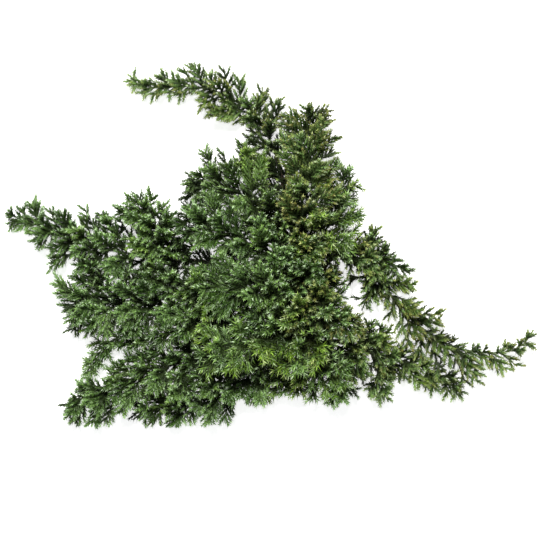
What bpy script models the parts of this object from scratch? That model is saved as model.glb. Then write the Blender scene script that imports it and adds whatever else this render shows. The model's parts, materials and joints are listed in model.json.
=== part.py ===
"""A preserved juniper sprig lying on a flat surface.

One woody stem, cut at its butt, forks into limbs that fan out over the surface. Bare wood carries
each limb out from the middle, with short stubs along it. The limb's leafy end and a spray on each
stub are green shoots with awl-shaped needles in whorls of three, raised from the shoot's own skin.
Lengths are in millimetres until a mesh is written.

Frame: +Z up, +X to the right and +Y away as seen from above. The origin is on the surface, in the
middle of the box that the sprig lies in.
"""

import math
import random

import bpy
from mathutils import Matrix, Vector
from mathutils.bvhtree import BVHTree

MM = 0.001
UP = Vector((0, 0, 1))

# Driving dimensions, in millimetres and degrees.
NEEDLE_LENGTH = 6.4
NEEDLE_LEAN = 42  # from the shoot's own line
WHORL_STEP = 5.3  # from one whorl of three needles to the next
BARE_STEP = 4.9  # plain stretch between whorls on a leafy stem
FULL_TIP = 22.5  # end of a leafy stem that has no plain stretches
BUD_LENGTH = 3.6
SHOOT_RADIUS = 0.88
TIP_RADIUS = 0.66
LEAFY_STEM_RADIUS = 1.35
STUB_RADIUS = 1.0
FIRST_STEP = 2.4  # plain foot of a side shoot
FOOT_FACES = 6  # how many faces that foot has
FOOT_SEARCH = 7.0  # how far from its place a side shoot's foot may be
FOOT_DRIFT = 0.12  # how much each millimetre from its place counts against a foot
FIRST_SHOOT = 6.0  # from a leafy stem's foot to its first side shoot
FIRST_SPRAY = 16.0  # from a limb's start to its first spray
LAST_SPRAY = 8.0  # from a limb's last spray to the end of its bare wood
SHORTEST_SHOOT = 9.0
LONGEST_SHOOT = 50.0
LONGEST_SPRAY = 42.0
SIDE_SPREAD = (44, 56)  # between a side shoot and the stem ahead of it
UPRIGHT_LOSS = 0.3  # how much shorter a side shoot is that stands up
SHOOT_RISE = 0.10  # share of its length by which a shoot's tip bends up
STEEPEST_RISE = 0.9  # at a shoot's foot, where the surface is near
CLEARANCE = 0.4  # between needles of separate pieces
BUTT_SIDES = 6
LIMB_SIDES = 5
STUB_SIDES = 4
STUB_PROUD = 0.5  # how far a stub stands out of the wood
WOOD_STEP = 14  # from one ring of corners to the next along bare wood
JOINT_GAP = 0.45  # where a green shoot meets the wood end to end
REST_CUT = 0.15  # how deep the flat is where the wood rests
SHOOT_SPACING = 13.2  # from one side shoot to the next along a leafy stem
CROWN_SPACING = 12.0
SPRAY_SPACING = 19.0  # from one spray to the next along the bare wood
LOWEST_SHOOT = 5.2  # height of a shoot's own line over the surface, so that its needles clear it
CLEAR_AFTER = 8.0  # how far out a spray has to be that high
LIFT_RUN = 10.0  # how far a limb takes to rise to that height from its bare wood
LOWEST_POINT = 0.5

# Each limb: the points its line runs through, with height 0 where it rests on the surface, its
# radius where it starts and where its leaves begin, the share of its length that is bare wood, and
# how far its foliage reaches to the left and to the right of its line, from base to tip.
LIMBS = {
    "top_arm": {
        "route": [(25, -17, 13), (20, 17, 11), (13, 53, 6), (2, 90, 0), (-16, 118, 6), (-43, 135, 10),
                  (-72, 142, 11), (-103, 141, 9), (-127, 148, 8)],
        "radii": (3.3, 2.0), "bare": 0.38,
        "left": (26, 26, 26, 20, 27, 13, 10, 6),
        "right": (24, 24, 24, 26, 32, 30, 15, 26, 22, 11, 8, 5),
    },
    "left_arm": {
        "route": [(29, -48, 9), (-8, -30, 13), (-44, -19, 7), (-80, -14, 0), (-112, -11, 5),
                  (-148, -4, 8), (-184, 8, 9), (-215, 19, 10), (-236, 27, 9)],
        "radii": (3.1, 1.9), "bare": 0.46,
        "left": (26, 26, 27, 34, 35, 18, 5), "right": (26, 24, 28, 32, 30, 21, 10),
    },
    "left_low": {
        "route": [(33, -58, 9), (2, -53, 16), (-35, -53, 18), (-67, -56, 14), (-107, -54, 10),
                  (-143, -51, 8), (-168, -52, 7), (-184, -57, 7)],
        "radii": (2.6, 1.7), "bare": 0.38,
        "left": (24, 26, 28, 32, 36, 16), "right": (22, 24, 28, 36, 38, 15),
    },
    "left_hook": {
        "route": [(-32, -53, 17.8), (-50, -64, 23), (-73, -74, 22), (-95, -83, 17), (-116, -86, 13),
                  (-135, -85, 10), (-149, -93, 8), (-157, -106, 7), (-164, -119, 7)],
        "radii": (1.7, 1.4), "bare": 0.12,
        "left": (18, 16, 9, 9, 9, 7), "right": (18, 16, 12, 16, 9, 6),
    },
    "bottom_left": {
        "route": [(38, -78, 9), (5, -78, 12), (-28, -90, 6), (-62, -102, 0), (-96, -112, 6),
                  (-130, -124, 8), (-160, -136, 8), (-184, -146, 7)],
        "radii": (2.8, 1.8), "bare": 0.46,
        "left": (26, 28, 30, 34, 31, 13), "right": (24, 24, 26, 22, 15, 11),
    },
    "bottom": {
        "route": [(41, -88, 9), (12, -97, 14), (-22, -118, 13), (-58, -139, 9), (-92, -149, 7),
                  (-122, -153, 6)],
        "radii": (2.4, 1.6), "bare": 0.26,
        "left": (24, 26, 26, 17, 7), "right": (22, 26, 28, 26, 12),
    },
    "bottom_middle": {
        "route": [(44, -98, 9), (29, -110, 14), (12, -124, 14), (-2, -134, 10), (-15, -143, 7)],
        "radii": (2.0, 1.5), "bare": 0.22,
        "left": (18, 16, 8, 5), "right": (16, 20, 18, 9),
    },
    "bottom_right": {
        "route": [(47, -106, 8), (57, -115, 12), (65, -126, 11), (68, -137, 7)],
        "radii": (1.9, 1.4), "bare": 0.20,
        "left": (18, 22, 18, 8), "right": (18, 22, 20, 8),
    },
    "right_low": {
        "route": [(42, -92, 9), (62, -88, 11), (84, -95, 4), (104, -103, 0), (130, -108, 6),
                  (152, -118, 8), (173, -135, 7)],
        "radii": (2.6, 1.8), "bare": 0.48,
        "left": (28, 27, 17, 10, 14, 14, 8), "right": (26, 34, 37, 17, 20, 11, 6),
    },
    "right_arm": {
        "route": [(30, -52, 10), (46, -24, 17), (66, -6, 15), (89, -14, 6), (105, -38, 0),
                  (120, -60, 6), (146, -82, 8), (174, -95, 10), (206, -98, 11), (226, -92, 11),
                  (237, -79, 9)],
        "radii": (3.0, 1.8), "bare": 0.38,
        "left": (18, 22, 17, 14, 26, 26, 16, 6, 5, 4, 4), "right": (20, 24, 22, 8, 26, 30, 13, 6),
    },
    "right_tuft": {
        "route": [(82, -10, 9), (97, -13, 17), (112, -19, 19), (125, -26, 15)],
        "radii": (1.6, 1.4), "bare": 0.16,
        "left": (9, 10, 9, 5), "right": (9, 12, 10, 6),
    },
    "right_hang": {
        "route": [(94, -18, 4), (96, -32, 12), (90, -46, 11), (84, -58, 8)],
        "radii": (1.4, 1.3), "bare": 0.14,
        "left": (8, 9, 9, 5), "right": (8, 9, 9, 5),
    },
    "top_right": {
        "route": [(24, -8, 14), (31, 22, 28), (34, 54, 33), (37, 86, 27), (39, 121, 19)],
        "radii": (2.6, 1.6), "bare": 0.16,
        "left": (22, 26, 30, 30, 14), "right": (24, 28, 28, 24, 9),
    },
    "right_up": {
        "route": [(27, -28, 13), (44, 2, 24), (57, 26, 29), (66, 46, 25), (75, 62, 18)],
        "radii": (2.4, 1.6), "bare": 0.16,
        "left": (18, 22, 24, 24, 14), "right": (26, 30, 24, 13, 6),
    },
    "upper_left": {
        "route": [(24, 0, 13), (2, 24, 22), (-22, 42, 22), (-46, 53, 17), (-71, 59, 12)],
        "radii": (2.4, 1.6), "bare": 0.16,
        "left": (22, 26, 28, 28, 14), "right": (24, 38, 38, 28, 12),
    },
    "centre_left": {
        "route": [(25, -17, 13), (-2, -6, 28), (-28, 4, 33), (-54, 14, 31), (-78, 27, 24)],
        "radii": (2.2, 1.5), "bare": 0.16,
        "left": (20, 24, 24, 20, 9), "right": (20, 26, 26, 28, 19),
    },
    "centre_middle": {
        "route": [(28, -40, 10), (6, -42, 28), (-22, -40, 38), (-50, -37, 36), (-76, -36, 28)],
        "radii": (2.2, 1.5), "bare": 0.16,
        "left": (20, 24, 24, 20, 9), "right": (20, 24, 24, 20, 9),
    },
    "centre_low": {
        "route": [(36, -70, 9), (14, -76, 26), (-8, -85, 35), (-34, -92, 36), (-58, -100, 30)],
        "radii": (2.2, 1.5), "bare": 0.16,
        "left": (22, 26, 26, 22, 10), "right": (22, 26, 26, 22, 10),
    },
    "centre_right": {
        "route": [(32, -56, 9), (46, -54, 27), (63, -62, 32), (80, -76, 26)],
        "radii": (2.2, 1.5), "bare": 0.16,
        "left": (22, 18, 12, 7), "right": (20, 26, 22, 9),
    },
    "over_stem": {
        "route": [(39, -82, 9), (33, -90, 24), (21, -100, 31), (7, -108, 28)],
        "radii": (1.8, 1.4), "bare": 0.16,
        "left": (18, 22, 20, 9), "right": (16, 20, 18, 8),
    },
    "over_butt": {
        "route": [(44, -98, 8), (49, -108, 20), (45, -122, 21), (37, -134, 13)],
        "radii": (1.8, 1.4), "bare": 0.16,
        "left": (20, 22, 18, 8), "right": (18, 20, 18, 8),
    },
    "left_tuft": {
        "route": [(-82, -14, 2.2), (-97, 6, 15), (-110, 26, 20), (-118, 43, 17)],
        "radii": (1.6, 1.4), "bare": 0.14,
        "left": (18, 32, 32, 22), "right": (18, 22, 14, 9),
    },
}

MAIN_STEM = {
    "route": [(50, -118, 0), (45, -102, 6), (38, -80, 8.6), (32, -56, 9.2), (27, -32, 11), (25, -17, 13),
              (23, -5, 13)],
    "radii": (5.0, 3.4), "bare": 1.0,
    "left": (30, 28, 24, 22), "right": (30, 28, 24, 22),
}

ALL_WOOD = tuple(f"wood {name}" for name in ("main_stem", *LIMBS))

# Rolls of successive side shoots round a leafy stem, from straight up, in degrees.
SIDE_ROLLS = (-76, 74, -34, 82, -66, 26)

# Rolls of successive sprays along bare wood, which lean out further there, and of the shoots on a
# side shoot.
SPRAY_ROLLS = (62, -60)
CROWN_ROLLS = (-48, 40, -22, 62, -66, 24)
TWIN_ROLLS = (70, -70, 20)
TWIN_SPREAD = math.radians(46)

# A side shoot this long carries shoots of its own. The rest are shares of its length: the place of
# the first, the spacing and the least and greatest length.
FORKING_LENGTH = 36.0
FIRST_TWIN = 0.36
TWIN_SPACING = 0.2
TWIN_LENGTH = (0.34, 0.42)

# What is tried in turn where there is no room. For a shoot: a further turn and spread, and a share
# of its length. For a spray: a further roll, the spread itself, and a share of its length.
SECOND_TRIES = ((0, 0, 1), (-14, 4, 1), (12, -6, 1), (-26, 0, 0.9), (0, -10, 0.75), (-30, 8, 0.7),
                (10, 8, 0.6))
SPRAY_TRIES = ((0, 54, 1.15), (-14, 50, 1.1), (12, 60, 1.0), (-28, 56, 1.0), (-40, 60, 0.9), (-10, 72, 0.9),
               (6, 84, 0.8), (-24, 40, 0.8), (-60, 70, 0.8), (20, 66, 0.6), (-30, 66, 0.6))

SPRAY_REACH = {"left": (17, 15, 9), "right": (17, 15, 9)}


class Line:
    """A line in space that is measured along its length."""

    def __init__(self, points):
        self.points = points
        self.runs = [0.0]
        for a, b in zip(points, points[1:]):
            self.runs.append(self.runs[-1] + (b - a).length)
        self.length = self.runs[-1]

    def at(self, s):
        s = min(max(s, 0.0), self.length)
        i = next(k for k in range(1, len(self.runs)) if self.runs[k] >= s - 1e-9)
        share = (s - self.runs[i - 1]) / (self.runs[i] - self.runs[i - 1])
        return self.points[i - 1].lerp(self.points[i], share)

    def ahead(self, s):
        return (self.at(s + 1.5) - self.at(s - 1.5)).normalized()

    def evenly(self, step):
        count = max(2, round(self.length / step))
        return Line([self.at(self.length * i / count) for i in range(count + 1)])

    def part(self, start, end):
        """The stretch between two distances."""
        inner = [p for p, run in zip(self.points, self.runs) if start + 0.5 < run < end - 0.5]
        return Line([self.at(start), *inner, self.at(end)])


def smooth(route):
    """The smooth line through the route's points."""
    points = [Vector(p) for p in route]
    ends = [2 * points[0] - points[1], *points, 2 * points[-1] - points[-2]]
    fine = []
    for a, b, c, d in zip(ends, ends[1:], ends[2:], ends[3:]):
        count = max(3, round((c - b).length / 2))
        for i in range(count):
            t = i / count
            fine.append(0.5 * (2 * b + (c - a) * t + (2 * a - 5 * b + 4 * c - d) * t * t
                               + (3 * b - a - 3 * c + d) * t ** 3))
    return Line([*fine, points[-1]]).evenly(2.0)


def between(pair, share):
    """The value at a share of the way from the first of a pair to the second."""
    return pair[0] + (pair[1] - pair[0]) * share


def along(values, share):
    """The value at a share of the way through an even list of values."""
    place = min(max(share, 0.0), 1.0) * (len(values) - 1)
    i = min(int(place), len(values) - 2)
    return between(values[i:i + 2], place - i)


def limb_line(limb, sides):
    """A limb's line, raised to lie on the surface where its route would dip under it."""
    line = smooth(limb["route"])
    bare = limb["bare"] * line.length
    raised = []
    for point, run in zip(line.points, line.runs):
        radius = between(limb["radii"], min(run / bare, 1))
        resting = radius * math.cos(math.pi / sides) - REST_CUT
        share = min(max(run - bare, 0) / LIFT_RUN, 1)
        low = between((resting, LOWEST_SHOOT), share * share * (3 - 2 * share))
        raised.append(Vector((point.x, point.y, max(point.z, low))))
    return Line(raised)


def ring(point, side, ahead, radius, sides, turn):
    """Corners of a cross-section, anticlockwise as seen from ahead."""
    other = ahead.cross(side)
    angles = [turn + 2 * math.pi * j / sides for j in range(sides)]
    return [point + radius * (math.cos(w) * side + math.sin(w) * other) for w in angles]


def across(direction, ahead):
    """The direction square to ahead, as near as possible to the given one."""
    return (direction - ahead * direction.dot(ahead)).normalized()


def stem_skin(line, radii, step, sides=LIMB_SIDES):
    """Corners and faces of a closed stem of bare wood, with a face of it looking down."""
    corners, faces = [], []
    count = max(1, round(line.length / step))
    side = across(line.ahead(0).cross(UP), line.ahead(0))
    for k in range(count + 1):
        run = line.length * k / count
        ahead = line.ahead(run)
        side = across(side, ahead)
        radius = between(radii, k / count)
        corners += ring(line.at(run), side, ahead, radius, sides, math.pi * (0.5 - 1 / sides))
    for k in range(count):
        for j in range(sides):
            a, b = k * sides + j, k * sides + (j + 1) % sides
            faces.append((a, b, b + sides, a + sides))
    last = len(corners) - sides
    faces.append(tuple(reversed(range(sides))))
    faces.append(tuple(range(last, last + sides)))
    return corners, faces


def shoot_skin(first, line, radii, steps, swell=0.0):
    """Corners and faces of a shoot that grows from three corners along the line to its bud.

    Each ring of three is turned by a sixth against the one before, so six triangles join them. In a
    leafy step the three with their base towards the foot are raised into needles. Also returned are
    the faces left plain, which side shoots may grow from.
    """
    corners, faces, plain = list(first), [], []
    ahead = line.ahead(0)
    side = across(first[0] - sum(first, Vector()) / 3, ahead)
    run, here = 0.0, 0
    for k, (step, leafy) in enumerate(steps):
        run += step
        ahead = line.ahead(run)
        side = across(side, ahead)
        radius = between(radii, run / line.length) + swell
        there = len(corners)
        corners += ring(line.at(run), side, ahead, radius, 3, (k + 1) * math.pi / 3)
        for j in range(3):
            nxt = (j + 1) % 3
            behind = (here + j, here + nxt, there + j)
            before = (here + nxt, there + nxt, there + j)
            plain.append((len(faces), run))
            faces.append(before)
            if leafy:
                faces += needle(corners, behind, line.at(run - step / 2), ahead, swell)
            else:
                plain.append((len(faces), run))
                faces.append(behind)
        here = there
    corners.append(line.at(run) + ahead * (line.length - run + swell))
    faces += [(here + j, here + (j + 1) % 3, len(corners) - 1) for j in range(3)]
    return corners, faces, plain


def needle(corners, root, middle, ahead, swell):
    """Raises a triangle of the skin into a needle that leans forward. Returns its three sides."""
    a, b, c = root
    foot = (corners[a] + corners[b] + corners[c]) / 3
    out = across(foot - middle, ahead)
    lean = math.radians(NEEDLE_LEAN)
    point = foot + (NEEDLE_LENGTH + swell) * (out * math.sin(lean) + ahead * math.cos(lean))
    point.z = max(point.z, LOWEST_POINT)
    corners.append(point)
    tip = len(corners) - 1
    return [(a, b, tip), (b, c, tip), (c, a, tip)]


def stem_steps(length):
    """Steps of a leafy stem: whorls and plain stretches by turns, then whorls alone to the tip."""
    steps, run = [(FIRST_STEP, False)], FIRST_STEP
    while run < length - BUD_LENGTH - FULL_TIP:
        steps += [(WHORL_STEP, True), (BARE_STEP, False)]
        run += WHORL_STEP + BARE_STEP
    return steps + whorls(length - run - BUD_LENGTH)


def whorls(length):
    """Leafy steps that fill a length."""
    count = max(1, round(length / WHORL_STEP))
    return [(length / count, True)] * count


def shoot_steps(length):
    """Steps of a side shoot: a plain foot, then whorls to the tip."""
    return [(FIRST_STEP, False), *whorls(length - FIRST_STEP - BUD_LENGTH)]


class Space:
    """The skins placed so far, to keep separate pieces clear of each other."""

    def __init__(self):
        self.placed = []

    def keep(self, owner, corners, faces):
        self.placed.append((owner, BVHTree.FromPolygons(corners, faces), *extent(corners)))

    def free(self, own, corners, faces, foot):
        """Whether a skin is clear of all others. Its first few faces, the foot, may touch its own."""
        whole = BVHTree.FromPolygons(corners, faces)
        beyond = BVHTree.FromPolygons(corners, faces[foot:])
        low, high = extent(corners)
        for owner, tree, other_low, other_high in self.placed:
            if any(low[i] > other_high[i] or high[i] < other_low[i] for i in range(3)):
                continue
            if (beyond if owner in own else whole).overlap(tree):
                return False
        return True


def extent(corners):
    """Lowest and highest coordinates of the corners."""
    return tuple([pick(c[i] for c in corners) for i in range(3)] for pick in (min, max))


class Shoot:
    """A stretch of a piece's skin: its line, and the plain faces that other shoots may grow from."""

    def __init__(self, line, plain):
        self.line, self.plain = line, plain


class Piece:
    """One leafy piece: a leafy stem, and side shoots raised from faces of its skin."""

    def __init__(self, name, wood, space):
        self.name, self.space = name, space
        self.own = (name, wood)
        self.corners, self.faces = [], []
        self.stem = None

    def add_stem(self, line):
        """The stem that the side shoots grow from, with its foot cut flat. False if it has no room."""
        radii = (LEAFY_STEM_RADIUS, TIP_RADIUS)
        ahead = line.ahead(0)
        side = across(ahead.cross(UP), ahead)
        steps = stem_steps(line.length)
        for swell in (CLEARANCE, 0.0):
            first = ring(line.at(0), side, ahead, radii[0] + swell, 3, math.pi / 6)
            corners, faces, plain = shoot_skin(first, line, radii, steps, swell)
            if swell and not self.space.free(self.own, corners, faces, FOOT_FACES):
                return False
        self.corners, self.faces = corners, [*faces, (2, 1, 0)]
        self.stem = Shoot(line, [(i, run) for i, run in plain if run > FIRST_STEP + 0.1])
        self.space.keep(self.name, corners, self.faces)
        return True

    def foot_face(self, parent, run, out):
        """The parent's plain face that lies nearest a distance and looks most nearly that way."""
        def fitness(item):
            a, b, c = (self.corners[i] for i in self.faces[item[0]])
            normal = (b - a).cross(c - a).normalized()
            return normal.dot(out) - FOOT_DRIFT * abs(item[1] - run)
        near = [item for item in parent.plain if abs(item[1] - run) < FOOT_SEARCH]
        return max(near, key=fitness, default=None)

    def add_shoot(self, parent, run, out, way, length):
        """A shoot from the parent at a distance along it, or None if it has no room."""
        item = self.foot_face(parent, run, out)
        if item is None:
            return None
        root = self.faces[item[0]]
        first = [self.corners[i] for i in root]
        line = shoot_line(sum(first, Vector()) / 3, way, length)
        steps = shoot_steps(line.length)
        radii = (SHOOT_RADIUS, TIP_RADIUS)
        corners, faces, plain = shoot_skin(first, line, radii, steps, CLEARANCE)
        if not self.space.free(self.own, corners, faces, FOOT_FACES):
            return None
        corners, faces, plain = shoot_skin(first, line, radii, steps)
        self.space.keep(self.name, corners, faces)
        parent.plain.remove(item)
        shift = len(self.faces) - 1
        self.graft(item[0], root, corners, faces)
        return Shoot(line, [(i + shift, at) for i, at in plain if i and at > FIRST_STEP + 0.1])

    def graft(self, place, root, corners, faces):
        """Puts a shoot's skin in the place of the face that it grows from."""
        index = [*root, *range(len(self.corners), len(self.corners) + len(corners) - 3)]
        self.corners += corners[3:]
        renumbered = [tuple(index[i] for i in face) for face in faces]
        self.faces[place] = renumbered[0]
        self.faces += renumbered[1:]


def shoot_line(start, way, length):
    """A shoot's line: straight at first, then bending up to the light, and clear of the surface."""
    points = []
    for i in range(9):
        t = i / 8
        point = start + way * (length * t) + UP * (SHOOT_RISE * length * t * t)
        point.z = max(point.z, min(LOWEST_SHOOT, start.z + STEEPEST_RISE * length * t))
        points.append(point)
    return Line(points).part(0, length)


def directions(line, run, roll, spread):
    """The outward direction at a roll round the line, and a shoot's own direction there."""
    ahead = line.ahead(run)
    right = ahead.cross(UP).normalized()
    out = right * math.sin(roll) + right.cross(ahead) * math.cos(roll)
    return out, ahead * math.cos(spread) + out * math.sin(spread)


def side_shoots(name, line, limb, offset, whole):
    """Where side shoots leave a leafy stem, their roll, spread and length, by a seeded rule."""
    rng = random.Random(name)
    found, run, turn = [], FIRST_SHOOT, 0
    while run < line.length - SHORTEST_SHOOT:
        roll = SIDE_ROLLS[turn % len(SIDE_ROLLS)] + rng.uniform(-8, 8)
        spread = math.radians(rng.uniform(*SIDE_SPREAD))
        reach = along(limb["right" if roll > 0 else "left"], (offset + run) / whole)
        upright = math.cos(math.radians(roll))
        length = reach / math.sin(spread) * (1 - UPRIGHT_LOSS * upright) * rng.uniform(0.92, 1.08)
        length = min(max(length, SHORTEST_SHOOT), LONGEST_SHOOT)
        found.append((run, math.radians(roll), spread, length))
        run += SHOOT_SPACING * rng.uniform(0.85, 1.15)
        turn += 1
    return found


def clothe(piece, shoots):
    """Adds the side shoots that find room, with shoots of their own on the long ones."""
    for i, shoot in enumerate(shoots):
        grown = place_shoot(piece, piece.stem, *shoot)
        if not grown or grown.line.length < FORKING_LENGTH:
            continue
        rng = random.Random(f"{piece.name} {i}")
        run = grown.line.length * FIRST_TWIN
        for roll in TWIN_ROLLS:
            roll = math.radians(roll + rng.uniform(-12, 12))
            length = rng.uniform(*TWIN_LENGTH) * grown.line.length
            place_shoot(piece, grown, run, roll, TWIN_SPREAD, length)
            run += grown.line.length * TWIN_SPACING


def place_shoot(piece, parent, run, roll, spread, length):
    """A side shoot, turned, lifted or shortened where it would have no room."""
    for turn, opened, share in SECOND_TRIES:
        turned = roll + math.copysign(math.radians(turn), roll)
        out, way = directions(parent.line, run, turned, spread + math.radians(opened))
        grown = piece.add_shoot(parent, run, out, way, max(length * share, SHORTEST_SHOOT * 0.8))
        if grown:
            return grown
    return None


def sprays(name, limb, line, space, wood):
    """The sprays on a limb's bare wood, each on its own stub, which is added to the wood."""
    crown = limb is MAIN_STEM
    rolls, spacing = (CROWN_ROLLS, CROWN_SPACING) if crown else (SPRAY_ROLLS, SPRAY_SPACING)
    rng = random.Random(name)
    run, turn = FIRST_SPRAY + rng.uniform(0, 5), 0
    made = []
    while run < limb["bare"] * line.length - LAST_SPRAY:
        piece = Piece(f"{name}_spray_{len(made) + 1}", f"wood {name}", space)
        if place_spray(piece, limb, line, run, rolls[turn % len(rolls)], wood):
            made.append(piece)
        run += spacing * rng.uniform(0.9, 1.1)
        turn += 1
    return made


def place_spray(piece, limb, line, run, roll, wood):
    """A spray's stem and its stub, turned or shortened to find room. False where there is none."""
    radius = between(limb["radii"], run / (limb["bare"] * line.length))
    reach = along(limb["right" if roll > 0 else "left"], run / line.length)
    for turn, spread, share in SPRAY_TRIES:
        turned = math.radians(roll + math.copysign(turn, roll))
        spread = math.radians(spread)
        _, way = directions(line, run, turned, spread)
        foot = (radius + STUB_RADIUS * math.cos(spread) + STUB_PROUD) / math.sin(spread)
        start = line.at(run)
        stub = stem_skin(Line([start, start + way * foot]), (STUB_RADIUS, STUB_RADIUS), foot, STUB_SIDES)
        length = min(reach * share / math.sin(spread), LONGEST_SPRAY)
        stem = shoot_line(start + way * (foot + JOINT_GAP), way, length)
        low = stem.at(CLEAR_AFTER).z < LOWEST_SHOOT
        if low or not piece.space.free(ALL_WOOD, *stub, len(stub[1])):
            continue
        if piece.add_stem(stem):
            piece.space.keep(piece.own[1], *stub)
            wood.append(stub)
            return True
    return False


def solid(name, corners, faces):
    """A mesh object with these corners, given in millimetres."""
    mesh = bpy.data.meshes.new(name)
    mesh.from_pydata([c * MM for c in corners], [], faces)
    mesh.update()
    made = bpy.data.objects.new(name, mesh)
    bpy.context.scene.collection.objects.link(made)
    return made


def fused(name, skins):
    """One body of all the skins."""
    base, *others = [solid(f"{name}_{i}", *skin) for i, skin in enumerate(skins)]
    group = bpy.data.collections.new("to_fuse")
    bpy.context.scene.collection.children.link(group)
    for other in others:
        bpy.context.scene.collection.objects.unlink(other)
        group.objects.link(other)
    join = base.modifiers.new("Fuse", "BOOLEAN")
    join.operation = "UNION"
    join.solver = "MANIFOLD"
    join.operand_type = "COLLECTION"
    join.collection = group
    made = solid_from(name, base)
    for other in [base, *others]:
        bpy.data.objects.remove(other)
    bpy.data.collections.remove(group)
    return made


def solid_from(name, base):
    """A new object with the mesh that the modifiers of base give."""
    graph = bpy.context.evaluated_depsgraph_get()
    made = bpy.data.objects.new(name, bpy.data.meshes.new_from_object(base.evaluated_get(graph)))
    bpy.context.scene.collection.objects.link(made)
    return made


def cut_to_rest(stem):
    """Takes off what is below the surface, which leaves a small flat wherever the stem rests."""
    far, deep = 300, 4
    square = ((-far, -far), (far, -far), (far, far), (-far, far))
    corners = [Vector((x, y, z)) for z in (-deep, 0) for x, y in square]
    faces = [(3, 2, 1, 0), (4, 5, 6, 7), (0, 1, 5, 4), (1, 2, 6, 5), (2, 3, 7, 6), (3, 0, 4, 7)]
    cutter = solid("surface_cutter", corners, faces)
    cutter.hide_render = True
    cutter.display_type = "WIRE"
    cut = stem.modifiers.new("Rest", "BOOLEAN")
    cut.operation = "DIFFERENCE"
    cut.object = cutter
    made = solid_from("woody_stem", stem)
    bpy.data.objects.remove(stem)
    bpy.data.objects.remove(cutter)
    return made


def to_middle(pieces):
    """Brings the middle of the box that the pieces lie in over the origin."""
    low, high = extent([corner.co for made in pieces for corner in made.data.vertices])
    shift = Matrix.Translation((-(low[0] + high[0]) / 2, -(low[1] + high[1]) / 2, 0))
    for made in pieces:
        made.data.transform(shift)


def paint(pieces, name, colour, roughness):
    """Gives the pieces one plain material."""
    material = bpy.data.materials.new(name)
    material.use_nodes = True
    surface = material.node_tree.nodes["Principled BSDF"]
    surface.inputs["Base Color"].default_value = (*colour, 1)
    surface.inputs["Roughness"].default_value = roughness
    surface.inputs["Metallic"].default_value = 0
    for made in pieces:
        made.data.materials.clear()
        made.data.materials.append(material)


def wood_skins(lines, space):
    """The bare wood, one skin for the main stem and one for each limb."""
    skins = [stem_skin(lines["main_stem"], MAIN_STEM["radii"], WOOD_STEP, BUTT_SIDES)]
    space.keep("wood main_stem", *skins[0])
    for name, limb in LIMBS.items():
        bare = lines[name].part(0, limb["bare"] * lines[name].length)
        skins.append(stem_skin(bare, limb["radii"], WOOD_STEP))
        space.keep(f"wood {name}", *skins[-1])
    return skins


def leafy_ends(lines, space):
    """The leafy end of each limb, with the side shoots that it is to carry."""
    made = []
    for name, limb in LIMBS.items():
        line = lines[name]
        bare = limb["bare"] * line.length
        piece = Piece(f"{name}_leafy_end", f"wood {name}", space)
        if not piece.add_stem(line.part(bare + JOINT_GAP, line.length)):
            raise RuntimeError(f"the route of {name} runs into another limb")
        made.append((piece, side_shoots(piece.name, piece.stem.line, limb, bare, line.length)))
    return made


def leafy_sprays(lines, space, wood):
    """The sprays on all the bare wood, with the side shoots that each is to carry."""
    made = []
    for name, limb in (("main_stem", MAIN_STEM), *LIMBS.items()):
        for piece in sprays(name, limb, lines[name], space, wood):
            line = piece.stem.line
            made.append((piece, side_shoots(piece.name, line, SPRAY_REACH, 0, line.length)))
    return made


def build():
    """The woody stem, the leafy ends of its limbs and the sprays on their bare wood."""
    for old in list(bpy.data.objects):
        bpy.data.objects.remove(old)
    space = Space()
    lines = {name: limb_line(limb, LIMB_SIDES) for name, limb in LIMBS.items()}
    lines["main_stem"] = limb_line(MAIN_STEM, BUTT_SIDES)
    wood = wood_skins(lines, space)
    leafy = leafy_ends(lines, space) + leafy_sprays(lines, space, wood)
    for piece, shoots in leafy:
        clothe(piece, shoots)

    stem = cut_to_rest(fused("stem", wood))
    green = [solid(piece.name, piece.corners, piece.faces) for piece, _ in leafy]
    to_middle([stem, *green])
    paint([stem], "bark", (0.10, 0.055, 0.03), 0.85)
    paint(green, "juniper_green", (0.075, 0.13, 0.045), 0.6)


build()
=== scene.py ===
# %% [markdown]
# # A preserved juniper sprig, seen from above
#
# The sprig lies flat on a pale table: one woody stem, many limbs, and a mat of green shoots with
# short awl-shaped needles. The solids already hold the wood, the long shoots and a few needles. This
# lesson dresses them: it finds the same shoots again by the same rule, adds the many short ones that
# close the mat, and lets Geometry Nodes set needles along all of them, in whorls of three.

# %% Load the solids
import json
import math
import random

import bpy
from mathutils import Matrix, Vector, noise as unevenness
from mathutils.bvhtree import BVHTree

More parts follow.
